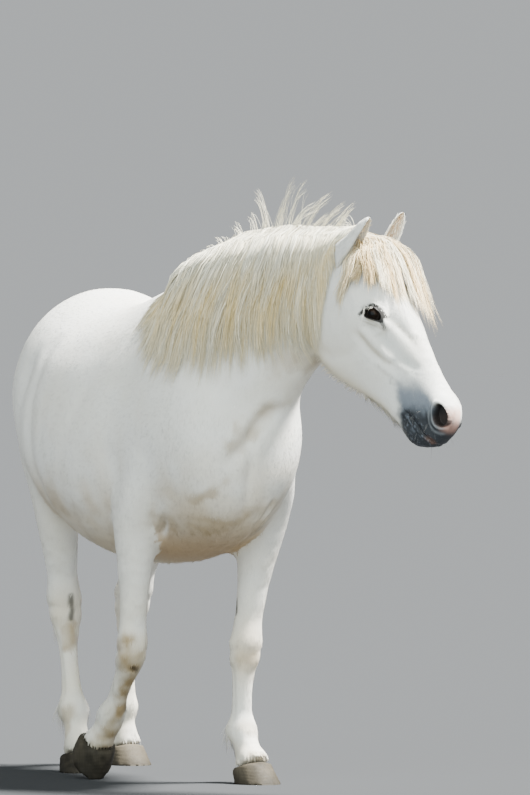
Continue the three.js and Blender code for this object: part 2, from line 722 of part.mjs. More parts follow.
const earsGrown = join(ears.map(([, side, aim]) => ear(side, aim, 1)));
const hairPlane = aimed(at(0, -1, 0));
const hairPoint = turned(at(0, HAIR_PARTING_Y, 0));
const maneShape = join([mane(), ...standingLocks()]).subtract(bodyGrown).subtract(earsGrown);
keep("mane", part(maneShape, hairPlane, hairPlane.dot(hairPoint))[1], "hair");
const forelockShape = join(forelock()).subtract(bodyGrown).subtract(earsGrown);
keep("forelock", part(forelockShape, hairPlane, hairPlane.dot(hairPoint))[0], "hair");
keep("tail", tail().subtract(bodyGrown), "hair");

// The middle of the whole stands over the origin.
const bounds = new THREE.Box3().setFromObject(pony);
const centre = bounds.getCenter(at(0, 0, 0));
for (const child of pony.children) child.geometry.translate(-centre.x, -centre.y, -bounds.min.z);

export default pony;
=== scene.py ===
"""The looks of a life-size white pony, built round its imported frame.

One skin takes the place of the solids of flesh. A short coat, a mane, a forelock, a tail and whiskers
of solid locks grow from it, and the eyes and hooves are pieces of their own. Metres, +Z up.
"""

import logging
import math
from collections.abc import Callable, Sequence
from dataclasses import dataclass, field, replace
from enum import Enum
from typing import Any

import bmesh
import bpy
import numpy as np
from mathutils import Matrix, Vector
from mathutils.bvhtree import BVHTree


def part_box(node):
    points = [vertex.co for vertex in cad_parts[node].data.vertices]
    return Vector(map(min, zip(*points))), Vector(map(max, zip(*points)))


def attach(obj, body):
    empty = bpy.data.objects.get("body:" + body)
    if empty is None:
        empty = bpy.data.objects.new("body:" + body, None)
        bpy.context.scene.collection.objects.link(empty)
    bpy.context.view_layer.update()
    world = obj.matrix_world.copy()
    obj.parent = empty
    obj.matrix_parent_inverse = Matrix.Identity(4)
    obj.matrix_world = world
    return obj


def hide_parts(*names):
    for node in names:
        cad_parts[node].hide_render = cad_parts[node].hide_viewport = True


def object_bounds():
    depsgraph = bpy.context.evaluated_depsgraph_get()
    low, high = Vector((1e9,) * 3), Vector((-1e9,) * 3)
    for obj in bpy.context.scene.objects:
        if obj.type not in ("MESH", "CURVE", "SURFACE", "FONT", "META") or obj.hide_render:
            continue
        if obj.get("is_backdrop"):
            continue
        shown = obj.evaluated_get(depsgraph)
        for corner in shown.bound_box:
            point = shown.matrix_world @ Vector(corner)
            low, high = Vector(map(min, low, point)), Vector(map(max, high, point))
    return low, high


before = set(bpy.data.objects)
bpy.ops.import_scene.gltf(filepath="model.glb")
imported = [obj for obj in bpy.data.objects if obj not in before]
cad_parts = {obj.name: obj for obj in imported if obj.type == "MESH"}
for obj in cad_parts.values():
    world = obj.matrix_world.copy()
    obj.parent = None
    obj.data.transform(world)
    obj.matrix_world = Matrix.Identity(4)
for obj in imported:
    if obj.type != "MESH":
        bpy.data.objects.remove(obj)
log = logging.getLogger("pony")
logging.basicConfig(level=logging.INFO, format="%(message)s")

Array = np.ndarray
Piece = bpy.types.Object
Triple = tuple[float, float, float]
Path = tuple[tuple[float, ...], ...]

MM = 0.001
UP = np.array([0.0, 0.0, 1.0])
LEGS = ("foreleg_left", "foreleg_right", "hindleg_left", "hindleg_right")
LEG_PARTS = ("upper", "cannon", "pastern")
HEAD_PARTS = ("head", "muzzle")
EARS = ("ear_left", "ear_right")
EYES = ("eye_left", "eye_right")
FLESH = ("trunk", "neck", *HEAD_PARTS, *(f"{leg}_{p}" for leg in LEGS for p in LEG_PARTS))
BAKE_MAP = "OFBake"
TINT = "tint"
FALL = "fall"
PATCH = 0.003  # a tuft's patch on the unwrap


class Side(Enum):
    """The pony's own two sides."""

    LEFT = 1
    RIGHT = -1

    @property
    def eye(self) -> str:
        """The frame's node for this side's eye."""
        return f"eye_{self.name.lower()}"


# ---------------------------------------------------------------- numbers
def unit(v: Array) -> Array:
    """Vectors scaled to length one."""
    return v / np.maximum(np.linalg.norm(v, axis=-1, keepdims=True), 1e-9)


def ease(low: float, high: float, x: Array) -> Array:
    """A smooth step from 0 at low to 1 at high."""
    t = np.clip((x - low) / (high - low), 0, 1)
    return t * t * (3 - 2 * t)


def hump(x: Array, centre: float, width: float) -> Array:
    """A bell of height one round centre."""
    return np.exp(-(((x - centre) / width) ** 2))


def mound(x: Array, y: Array, at: tuple[float, float], size: tuple[float, float]) -> Array:
    """A bell of height one over two directions."""
    return np.exp(-(((x - at[0]) / size[0]) ** 2) - (((y - at[1]) / size[1]) ** 2))


def mix(a: Any, b: Any, share: Any) -> Any:
    """Numbers or directions a and b mixed by a share."""
    return a * (1 - share) + b * share


def blend(a: Any, b: Any, share: Array) -> Array:
    """Colours or points a and b mixed by a share per row."""
    return mix(np.asarray(a), np.asarray(b), np.asarray(share)[..., None])


def layered(tint: Array, *layers: tuple[Any, Array]) -> Array:
    """A colour with others laid over it in turn, each by its own share."""
    for colour, share in layers:
        tint = blend(tint, colour, share)
    return tint


def cloudy(points: Array, size: float, seed: int = 0) -> Array:
    """Smooth noise from -1 to 1.

    Args:
        points: Places in metres.
        size: Width of a cloud in metres.
        seed: Picks another pattern.
    Returns:
        One value for each place.
    """
    grid = points / size + seed * 17.3
    cell = np.floor(grid).astype(np.int64)
    part = grid - cell
    part = part * part * (3 - 2 * part)
    total = np.zeros(len(points))
    for corner in np.ndindex(2, 2, 2):
        at = cell + corner
        mixed = at[:, 0] * 73856093 ^ at[:, 1] * 19349663 ^ at[:, 2] * 83492791 ^ (seed * 2654435)
        mixed = (mixed ^ (mixed >> 13)) * 1274126177
        value = ((mixed ^ (mixed >> 16)) & 0xFFFF) / 32767.5 - 1
        total += value * np.prod(np.where(corner, part, 1 - part), axis=1)
    return total


def cloudy_shift(points: Array, size: float, seeds: Sequence[int]) -> Array:
    """Smooth noise from -1 to 1 along each of the three directions."""
    return np.stack([cloudy(points, size, seed) for seed in seeds], axis=1)


def off_path(points: Array, path: Sequence[Sequence[float]]) -> tuple[Array, Array]:
    """Distance to a line through a few places, and how far along it the nearest place lies, 0 to 1."""
    stops = np.asarray(path, float)
    best = np.full(len(points), np.inf)
    along = np.zeros(len(points))
    for i, (a, b) in enumerate(zip(stops, stops[1:])):
        t = np.clip(((points - a) @ (b - a)) / max(float((b - a) @ (b - a)), 1e-12), 0, 1)
        d = np.linalg.norm(points - (a + t[:, None] * (b - a)), axis=1)
        near = d < best
        best[near] = d[near]
        along[near] = (i + t[near]) / (len(stops) - 1)
    return best, along


def apart(points: Array, path: Sequence[Sequence[float]]) -> Array:
    """Distance to a line through a few places."""
    return off_path(points, path)[0]


def thin_ends(along: Array) -> Array:
    """A share that fades out towards both ends of a stroke."""
    return np.sqrt(np.clip(np.sin(math.pi * along), 0, 1))


def spline(stops: Array, count: int) -> Array:
    """Catmull-Rom curves through their stops.

    Args:
        stops: Curves by stops by 3.
        count: How many even places each curve gets.
    Returns:
        Curves by places by 3.
    """
    last = stops.shape[1] - 1
    before, after = 2 * stops[:, :1] - stops[:, 1:2], 2 * stops[:, -1:] - stops[:, -2:-1]
    padded = np.concatenate([before, stops, after], axis=1)
    where = np.clip(np.linspace(0, 1, count) * last, 0, last - 1e-9)
    i = where.astype(int)
    t = (where - i)[None, :, None]
    a, b, c, d = (padded[:, i + k] for k in range(4))
    return 0.5 * (2 * b + (c - a) * t + (2 * a - 5 * b + 4 * c - d) * t**2 + (3 * b - a - 3 * c + d) * t**3)


# ---------------------------------------------------------------- meshes
def linked(name: str, data: Any) -> Piece:
    """A new object of the scene that holds some data."""
    made = bpy.data.objects.new(name, data)
    bpy.context.scene.collection.objects.link(made)
    return made


def from_shape(name: str, shape: bmesh.types.BMesh) -> Piece:
    """A linked object made from a shape under construction, which is freed."""
    mesh = bpy.data.meshes.new(name)
    shape.to_mesh(mesh)
    shape.free()
    return linked(name, mesh)


def new_object(name: str, points: Array, faces: Array) -> Piece:
    """A linked mesh object, at the origin, from arrays.

    Args:
        name: The piece's name.
        points: Places by 3.
        faces: Faces by corners, all of one count.
    Returns:
        The object.
    """
    mesh = bpy.data.meshes.new(name)
    mesh.vertices.add(len(points))
    mesh.vertices.foreach_set("co", np.ascontiguousarray(points, np.float32).ravel())
    mesh.loops.add(faces.size)
    mesh.loops.foreach_set("vertex_index", np.ascontiguousarray(faces, np.int32).ravel())
    mesh.polygons.add(len(faces))
    mesh.polygons.foreach_set("loop_start", np.arange(len(faces), dtype=np.int32) * faces.shape[1])
    mesh.update(calc_edges=True)
    return linked(name, mesh)


def read(parts: Any, key: str, width: int = 3, kind: type = np.float32) -> Array:
    """One property of all the parts of a mesh, a row for each.

    Args:
        parts: Vertices, edges, loops or the like.
        key: The property's name.
        width: How many numbers each part holds.
        kind: The numbers' type.
    Returns:
        Parts by width.
    """
    found = np.empty(len(parts) * width, kind)
    parts.foreach_get(key, found)
    return found.reshape(-1, width)


def corners(piece: Piece) -> Array:
    """A mesh's places by 3."""
    return read(piece.data.vertices, "co").astype(float)


def outward(piece: Piece) -> Array:
    """The outward direction at each place of a mesh."""
    return read(piece.data.vertex_normals, "vector").astype(float)


def place(piece: Piece, points: Array) -> None:
    """Moves a mesh's places."""
    piece.data.vertices.foreach_set("co", points.astype(np.float32).ravel())
    piece.data.update()


def paint(piece: Piece, name: str, values: Array) -> None:
    """Writes a colour, or a number as a grey, at each place of a mesh."""
    values = np.asarray(values, float)
    if values.ndim == 1:
        values = np.repeat(values[:, None], 3, axis=1)
    rgba = np.concatenate([values, np.ones((len(values), 1))], axis=1)
    layer = piece.data.color_attributes.new(name, "FLOAT_COLOR", "POINT")
    layer.data.foreach_set("color", rgba.astype(np.float32).ravel())


def neighbour_mean(piece: Piece) -> Callable[[Array], Array]:
    """A function that turns numbers over a mesh's places into the means of their neighbours' numbers."""
    a, b = read(piece.data.edges, "vertices", 2, np.int32).T
    count = len(piece.data.vertices)
    ends = np.maximum(np.bincount(a, minlength=count) + np.bincount(b, minlength=count), 1)

    def mean(values: Array) -> Array:
        """The mean of the neighbours at each place."""
        return (np.bincount(a, values[b], count) + np.bincount(b, values[a], count)) / ends

    return mean


def soften(piece: Piece, rounds: int, share: Array | float = 1.0) -> None:
    """Evens out a mesh: each place moves half way to the mean of its neighbours.

    Args:
        piece: The mesh object.
        rounds: How often.
        share: How much each place takes part, 0 to 1.
    """
    mean = neighbour_mean(piece)
    points = corners(piece)
    weight = 0.5 * np.broadcast_to(share, (len(points),))[:, None]
    for _ in range(rounds):
        points += weight * (np.stack([mean(column) for column in points.T], axis=1) - points)
    place(piece, points)


def spread(piece: Piece, values: Array, rounds: int) -> Array:
    """Evens out numbers over a mesh's places."""
    mean = neighbour_mean(piece)
    for _ in range(rounds):
        values = 0.5 * values + 0.5 * mean(values)
    return values


def make_active(piece: Piece) -> None:
    """Selects one object alone and makes it the active one."""
    bpy.ops.object.select_all(action="DESELECT")
    piece.select_set(True)
    bpy.context.view_layer.objects.active = piece


def divide(piece: Piece, near: Callable[[Array], Array]) -> None:
    """Subdivides the faces whose middles a test picks."""
    make_active(piece)
    mesh = piece.data
    mesh.vertices.foreach_set("select", np.zeros(len(mesh.vertices), bool))
    mesh.edges.foreach_set("select", np.zeros(len(mesh.edges), bool))
    mesh.polygons.foreach_set("select", near(read(mesh.polygons, "center").astype(float)))
    bpy.ops.object.mode_set(mode="EDIT")
    bpy.ops.mesh.select_mode(type="FACE")
    bpy.ops.mesh.subdivide(number_cuts=1)
    bpy.ops.object.mode_set(mode="OBJECT")


def copied(name: str, nodes: Sequence[str]) -> Piece:
    """One object that holds copies of frame nodes' meshes with their doubles merged."""
    shape = bmesh.new()
    for node in nodes:
        shape.from_mesh(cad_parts[node].data)
    bmesh.ops.remove_doubles(shape, verts=shape.verts, dist=1e-6)
    return from_shape(name, shape)


def remesh(piece: Piece, voxel: float) -> None:
    """Turns a mesh into even squares of one size."""
    make_active(piece)
    modifier = piece.modifiers.new("even", "REMESH")
    modifier.mode = "VOXEL"
    modifier.voxel_size = voxel
    bpy.ops.object.modifier_apply(modifier=modifier.name)


def smooth_shaded(piece: Piece) -> None:
    """Shades every face of a mesh smooth."""
    piece.data.polygons.foreach_set("use_smooth", np.ones(len(piece.data.polygons), bool))
    piece.data.update()


def node_points(node: str) -> Array:
    """The places of a frame node's mesh."""
    return corners(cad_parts[node])


def node_middle(node: str) -> Array:
    """The middle of a frame node's box."""
    low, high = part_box(node)
    return np.array((low + high) / 2)


# ---------------------------------------------------------------- the head's own directions
@dataclass(frozen=True)
class HeadFrame:
    """Turns places into millimetres down the face, out of the face and to the pony's left.

    The zero is the poll. The eyes of the frame fix the middle and the sideways direction.
    """

    turn: float = math.radians(33)
    pitch: float = math.radians(57.5)
    eyes: Triple = (226.0, -20.0, 0.0)

    @property
    def middle(self) -> Array:
        """Half way between the eyes."""
        return (node_middle("eye_left") + node_middle("eye_right")) / 2

    @property
    def axes(self) -> Array:
        """Rows: down the face, out of the face, to the pony's left."""
        flat = math.cos(self.pitch)
        down = np.array([flat * math.sin(self.turn), -flat * math.cos(self.turn), -math.sin(self.pitch)])
        left = unit(node_middle("eye_left") - node_middle("eye_right"))
        left = unit(left - down * (left @ down))
        return np.array([down, np.cross(down, left), left])

    def local(self, points: Array) -> Array:
        """Places in the frame as (along, front, side) in millimetres."""
        return (points - self.middle) @ self.axes.T / MM + self.eyes

    def world(self, local: Array) -> Array:
        """(along, front, side) in millimetres as places in the frame."""
        return self.middle + (np.asarray(local, float) - self.eyes) * MM @ self.axes


HEAD = HeadFrame()
POLL = (-8, 16, 0)


# ---------------------------------------------------------------- what grows where
@dataclass
class Regions:
    """Knows which frame node lies nearest to a place."""

    names: tuple[str, ...] = FLESH + EARS
    tree: BVHTree = field(init=False)
    owner: Array = field(init=False)

    def __post_init__(self) -> None:
        """Builds the search tree over all the nodes of flesh."""
        points: list[Vector] = []
        faces: list[list[int]] = []
        owner: list[int] = []
        for index, name in enumerate(self.names):
            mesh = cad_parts[name].data
            start = len(points)
            points.extend(v.co.copy() for v in mesh.vertices)
            faces.extend([start + i for i in p.vertices] for p in mesh.polygons)
            owner.extend([index] * len(mesh.polygons))
        self.tree = BVHTree.FromPolygons(points, faces)
        self.owner = np.array(owner)

    def of(self, points: Array) -> Array:
        """The index in names of the nearest node at each place."""
        return np.array([self.owner[self.tree.find_nearest(p)[2]] for p in points.tolist()])

    def among(self, found: Array, *words: str) -> Array:
        """Where the found node's name holds one of the words."""
        wanted = [i for i, name in enumerate(self.names) if any(word in name for word in words)]
        return np.isin(found, wanted)


REGIONS = Regions()


@dataclass
class Spots:
    """Places on the skin, their outward directions and the indices of the nearest nodes."""

    points: Array
    normals: Array
    found: Array

    def among(self, *words: str) -> Array:
        """Where the nearest node's name holds one of the words."""
        return REGIONS.among(self.found, *words)


def leg_joints(leg: str) -> dict[str, Array]:
    """Knee or hock, fetlock and coronet of a leg, as the middles of its nodes' ends."""
    found = {}
    ends = (("knee", "cannon", True), ("fetlock", "pastern", True), ("coronet", "pastern", False))
    for joint, part, at_top in ends:
        points = node_points(f"{leg}_{part}")
        z = points[:, 2]
        near = z > z.max() - 0.02 if at_top else z < z.min() + 0.02
        found[joint] = points[near].mean(axis=0)
    return found


LEG_LINES = {leg: leg_joints(leg) for leg in LEGS}


@dataclass(frozen=True)
class Stain:
    """A patch of old dirt in the hair along a line through a few places. Metres."""

    path: Path
    reach: float
    strength: float

    def share(self, points: Array) -> Array:
        """How strongly each place is stained."""
        away = apart(points, self.path) + 0.35 * self.reach * cloudy(points, 0.02, 13)
        return self.strength * ease(self.reach, 0.2 * self.reach, away)


BODY_STAINS = (
    Stain(((0.0, -0.56, 1.157), (0.04, -0.59, 1.175), (0.085, -0.59, 1.168)), 0.055, 0.50),
    Stain(((-0.262, -0.05, 0.375), (-0.245, -0.044, 0.345), (-0.225, -0.04, 0.325)), 0.060, 0.95),
    Stain(((-0.222, -0.03, 0.32), (-0.22, 0.024, 0.261), (-0.222, 0.06, 0.22), (-0.225, 0.087, 0.18)),
          0.032, 0.95),
    Stain(((-0.228, 0.12, 0.125), (-0.235, 0.16, 0.07), (-0.25, 0.17, 0.05)), 0.065, 0.80),
    Stain(((0.04, -0.17, 0.352), (0.075, -0.18, 0.347)), 0.032, 0.38),
    Stain(((0.045, -0.17, 0.158), (0.08, -0.17, 0.150)), 0.028, 0.36),
    Stain(((0.06, -0.21, 0.079), (0.11, -0.225, 0.075)), 0.026, 0.50),
    Stain(((-0.185, 0.62, 0.41), (-0.181, 0.617, 0.37)), 0.036, 0.95),
    Stain(((-0.209, 0.566, 0.17), (-0.212, 0.57, 0.13)), 0.035, 0.50),
    Stain(((0.04, 0.93, 0.17), (0.05, 0.90, 0.08), (0.09, 0.89, 0.07)), 0.050, 0.60),
    Stain(((-0.115, -0.47, 0.85), (-0.16, -0.45, 0.81), (-0.20, -0.40, 0.78)), 0.026, 0.55),
    Stain(((-0.20, -0.20, 0.735), (-0.13, -0.36, 0.72), (-0.06, -0.42, 0.73)), 0.055, 0.50),
    Stain(((-0.04, -0.44, 0.765), (0.02, -0.44, 0.77), (0.05, -0.43, 0.775)), 0.030, 0.40),
    Stain(((-0.10, -0.49, 0.95), (-0.04, -0.50, 1.0), (0.02, -0.49, 1.06), (0.06, -0.48, 1.12)), 0.045, 0.45),
    Stain(((-0.30, 0.10, 0.76), (-0.32, 0.35, 0.79)), 0.060, 0.30),
)
SCARS = (
    Stain(((-0.228, -0.036, 0.320), (-0.208, -0.03, 0.308)), 0.014, 0.75),
    Stain(((0.040, -0.13, 0.53), (0.041, -0.138, 0.469)), 0.010, 0.9),
    Stain(((0.350, -0.973, 1.030), (0.347, -0.975, 1.018)), 0.006, 0.55),
    Stain(((0.365, -0.955, 1.045), (0.370, -0.945, 1.030)), 0.005, 0.45),
    Stain(((0.372, -0.930, 1.075), (0.378, -0.935, 1.060)), 0.016, 0.25),
    Stain(((-0.177, 0.614, 0.499), (-0.174, 0.615, 0.46), (-0.176, 0.616, 0.436)), 0.014, 0.8),
)


@dataclass(frozen=True)
class FaceStroke:
    """A soft stroke of colour on both sides of the face, in the head's own directions, mostly painted shade
    beside ridges and in grooves and hollows.
    """

    path: Path
    width: float
    strength: float
    tint: Triple


# Strokes on both sides of the face, all painted shade but the fifth: tan below the facial crest, tan along
# the groove under the nasal bone, blue-grey in the hollow in front of the crest, blue-grey along the vein,
# olive under the lower lid, and a thin dark line along that hollow's edge towards the nose. The fifth is a
# short dark grey stroke by the small lump on the side of the face.
FACE_SHADES_AND_MARKS = (
    FaceStroke(((240, -76), (270, -74), (296, -69), (330, -62), (350, -52)), 6.0, 0.50, (0.52, 0.47, 0.33)),
    FaceStroke(((262, 12), (277, 17), (322, 27), (369, 37), (380, 38)), 4.5, 0.42, (0.62, 0.52, 0.36)),
    FaceStroke(((246, -50), (301, -27), (363, -19), (405, -4), (430, 6)), 16.0, 0.36, (0.40, 0.47, 0.48)),
    FaceStroke(((352, -42), (366, -32), (397, -17), (417, 5), (424, 12)), 2.2, 0.40, (0.30, 0.36, 0.38)),
    FaceStroke(((392, -64), (400, -78), (408, -84)), 4.0, 0.45, (0.30, 0.31, 0.30)),
    FaceStroke(((236, -46), (250, -36), (262, -22)), 4.5, 0.35, (0.40, 0.40, 0.28)),
    FaceStroke(((262, -8), (282, -14), (300, -24)), 2.5, 0.45, (0.30, 0.32, 0.34)),
)


@dataclass(frozen=True)
class Coat:
    """The lie, length and colour of the hair at any place of the body."""

    white: Triple = (0.86, 0.86, 0.825)
    cream: Triple = (0.80, 0.72, 0.54)
    tan: Triple = (0.60, 0.46, 0.28)
    grey: Triple = (0.36, 0.36, 0.35)
    crown: Triple = (0.396, 0.36, 0.2975)
    dusk: Triple = (0.17, 0.20, 0.245)
    slate: Triple = (0.020, 0.023, 0.028)
    pink: Triple = (0.80, 0.46, 0.36)
    lip: Triple = (0.17, 0.095, 0.07)
    rim: Triple = (0.40, 0.43, 0.46)
    rust: Triple = (0.46, 0.30, 0.14)
    dirt: Triple = (0.33, 0.225, 0.095)
    ink: Triple = (0.012, 0.010, 0.010)

    def lie(self, spots: Spots) -> Array:
        """The direction in which the hair lies, along the skin.

        Args:
            spots: Places on the skin.
        Returns:
            Unit directions.
        """
        points, normals = spots.points, spots.normals
        flow = np.tile([0.0, 0.86, -0.5], (len(points), 1))
        flow = blend(flow, [0.0, 0.25, -0.97], ease(0.95, 0.6, points[:, 2]))
        flow[spots.among("trunk") & (points[:, 1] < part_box("trunk")[0].y + 0.16)] = [0.0, 0.25, -1.0]
        flow[spots.among("neck")] = [-0.2, 0.62, -0.76]
        head = HEAD.local(points)
        down, front, left = HEAD.axes
        face = down * 0.9 - front * 0.35 + left * np.sign(head[:, 2])[:, None] * 0.25
        jaw = ease(-20, -110, head[:, 1]) * ease(420, 300, head[:, 0])
        on_head = spots.among(*HEAD_PARTS)
        flow[on_head] = blend(face, -front * 0.75 - down * 0.15, jaw)[on_head]
        flow[spots.among("cannon", "pastern")] = [0.0, 0.12, -1.0]
        for name in EARS:
            root, tip = Ear(name).axis()
            flow[spots.among(name)] = unit(tip - root)
        flow += 0.16 * cloudy_shift(points, 0.09, (3, 4, 5))
        return unit(flow - normals * np.sum(flow * normals, axis=1, keepdims=True))

    def length(self, spots: Spots) -> Array:
        """The length of a tuft in metres at each place."""
        points, normals = spots.points, spots.normals
        along = HEAD.local(points)[:, 0]
        on_head = spots.among(*HEAD_PARTS)
        jaw = ease(-0.45, -0.85, normals @ HEAD.axes[1]) * ease(570, 500, along) * ease(60, 160, along)
        long = np.where(on_head, 0.009 + 0.021 * jaw, 0.015)
        long = long * (1 - 0.55 * on_head * ease(455, 540, along))
        long += 0.005 * ease(-0.5, -0.95, normals[:, 2]) * spots.among("trunk")
        for line in LEG_LINES.values():
            rel = points - line["fetlock"]
            behind = ease(0.005, 0.03, rel[:, 1]) * hump(rel[:, 2], -0.02, 0.05)
            long += 0.026 * behind * ease(0.12, 0.06, np.linalg.norm(rel[:, :2], axis=1))
            long += 0.002 * ease(0.075, 0.045, np.linalg.norm(points - line["coronet"], axis=1))
        return long

    def colour(self, spots: Spots) -> Array:
        """The colour of skin and hair.

        Args:
            spots: Places on the skin.
        Returns:
            Red, green and blue for each place.
        """
        points, normals = spots.points, spots.normals
        broad = cloudy(points, 0.16, 1) * 0.6 + cloudy(points, 0.05, 2) * 0.4
        trunk = spots.among("trunk").astype(float)
        leg = spots.among(*LEG_PARTS)
        between = ease(0.15, -0.10, points[:, 1]) * ease(0.745, 0.655, points[:, 2] + 0.02 * broad)
        belly = ease(-0.40, -0.80, normals[:, 2]) * trunk
        lower = ease(0.98, 0.74, points[:, 2]) * trunk
        shade = 0.06 + 0.45 * ease(-0.05, -0.85, normals[:, 2]) + 0.24 * broad
        low = np.clip(0.34 + 0.3 * cloudy(points, 0.05, 14), 0, 1)
        tint = layered(
            self.white,
            (self.cream, np.clip(shade, 0, 0.8)),
            (self.tan, 0.3 * belly * (0.85 + 0.3 * broad)),
            (self.tan, np.clip(lower * (0.20 + 0.6 * broad), 0, 0.45)),
            (self.rust, 0.78 * between * ease(0.05, -0.7, normals[:, 2]) * trunk),
            (self.cream, leg * ease(0.62, 0.40, points[:, 2]) * low),
        )
        scuffed = (cloudy(points, 0.018, 7) > 0.1) * leg
        for name, line in LEG_LINES.items():
            knee = np.linalg.norm(points - line["knee"], axis=1)
            stain = ease(0.14, 0.03, knee) * ease(0.1, -0.9, normals[:, 1]) * leg
            crown = np.linalg.norm(points - line["coronet"], axis=1)
            tint = layered(
                tint,
                (self.tan, np.clip(stain * (0.42 if "fore" in name else 0.2) * (1 + 0.5 * broad), 0, 0.7)),
                (self.grey, 0.35 * ease(0.055, 0.015, knee) * scuffed),
                (self.crown, 0.35 * ease(0.085, 0.045, crown)),
            )
        uneven = 0.8 + 0.5 * cloudy(points, 0.03, 12)
        tint = layered(tint, *((self.dirt, np.clip(s.share(points) * uneven, 0, 0.9)) for s in BODY_STAINS))
        tint = layered(tint, *((self.ink, s.share(points)) for s in SCARS))
        return self.face(spots, tint)

    def face(self, spots: Spots, tint: Array) -> Array:
        """Adds the marks of the head to a colour: dark muzzle, pink snip, eye rims, and painted shade, yellow
        under the jaw and in strokes along the face.

        Args:
            spots: Places on the skin.
            tint: The colour so far.
        Returns:
            The colour with the marks.
        """
        points = spots.points
        head = HEAD.local(points)
        along, front, side = head.T
        wide = np.abs(side)
        on_head = spots.among(*HEAD_PARTS).astype(float)
        patchy = cloudy(points, 0.022, 8) * 0.6 + cloudy(points, 0.008, 9) * 0.4
        # Painted shade: cream on the underside of the head, where the skin faces away from the front of the
        # face.
        jaw = ease(-0.2, -0.8, spots.normals @ HEAD.axes[1]) * ease(500, 430, along) * ease(90, 200, along)
        # The dark skin reaches up from lips and chin, fades into blue-grey and then into white hair.
        reach = along - 0.7 * front + 16 * patchy
        ahead = ease(18, -14, front - 0.1 * (along - 500) + 9 * patchy)
        ahead = ahead * ease(276, 338, along + 1.66 * front + 18 * patchy)
        lips = apart(head[:, :2], MOUTH.path)
        grain = ease(0.1, 0.8, cloudy(head * [0.4, 1, 1] * MM, 0.0034, 21)) * ease(486, 515, along)
        brim = ease(11, 3, lips + 4 * patchy) * ease(572, 594, along)
        tint = layered(
            tint,
            (self.cream, 0.75 * jaw * on_head),
            (self.dusk, 0.96 * ease(408, 506, reach) * ahead * on_head),
            (self.slate, 0.96 * ease(506, 572, reach) * ahead * on_head),
            (self.slate, 0.9 * ease(22, 6, lips) * ease(482, 500, along) * on_head),
            (self.dusk, 0.5 * grain * ease(-40, -66, front) * ahead * on_head),
            (self.lip, 0.5 * brim * on_head),
        )
        # Painted shade, and one dark mark, in strokes along the face.
        for mark in FACE_SHADES_AND_MARKS:
            away, share = off_path(head[:, :2], mark.path)
            stroke = mark.strength * hump(away, 0, mark.width) * thin_ends(share) * (0.8 + 0.5 * patchy)
            tint = blend(tint, mark.tint, np.clip(stroke * ease(28, 44, wide), 0, 1) * on_head)
        # A pink and white snip runs over the nose between the nostrils and down the upper lip.
        snip = ease(38, 22, np.abs(side + 18)) * ease(538, 562, along) * ease(612, 590, along)
        snip = snip * ease(-30, -4, front)
        ring, low = NOSTRIL.ring(head), NOSTRIL.across(head)[1] + 8 * patchy
        pale = hump(ring, 1.18, 0.07) * ease(8, -8, low) + 0.6 * hump(ring, 1.62, 0.08) * ease(-4, -14, low)
        tint = layered(
            tint,
            (self.pink, np.clip(snip * (0.62 + 0.7 * patchy), 0, 0.8) * on_head),
            (self.slate, 0.6 * ease(0.22, 0.46, patchy) * ease(560, 590, along) * on_head),
            (self.rim, 0.62 * pale * ease(20, 30, wide) * on_head),
        )
        near_eyes = (np.linalg.norm(points - node_middle(eye), axis=1) / MM for eye in EYES)
        return layered(tint, *((self.grey, 0.28 * ease(44, 29, near) * on_head) for near in near_eyes))


COAT = Coat()


# ---------------------------------------------------------------- shaping the head
@dataclass(frozen=True)
class MouthLine:
    """The line where the lips meet, from its corner to the front, in the head's own directions."""

    path: Path = ((487, -88), (512, -77), (546, -71), (570, -70), (600, -62))
    depth: float = 5.0
    width: float = 3.4

    def shift(self, head: Array) -> Array:
        """How far the skin moves out, in millimetres, for the groove and the two lips beside it."""
        away = apart(head[:, :2], self.path)
        above = head[:, 1] - np.interp(head[:, 0], *zip(*self.path))
        lips = (2.6 * hump(above, 9, 7) + 2.2 * hump(above, -9, 7)) * ease(480, 510, head[:, 0])
        return lips * ease(30, 16, away) - self.depth * hump(away, 0, self.width)


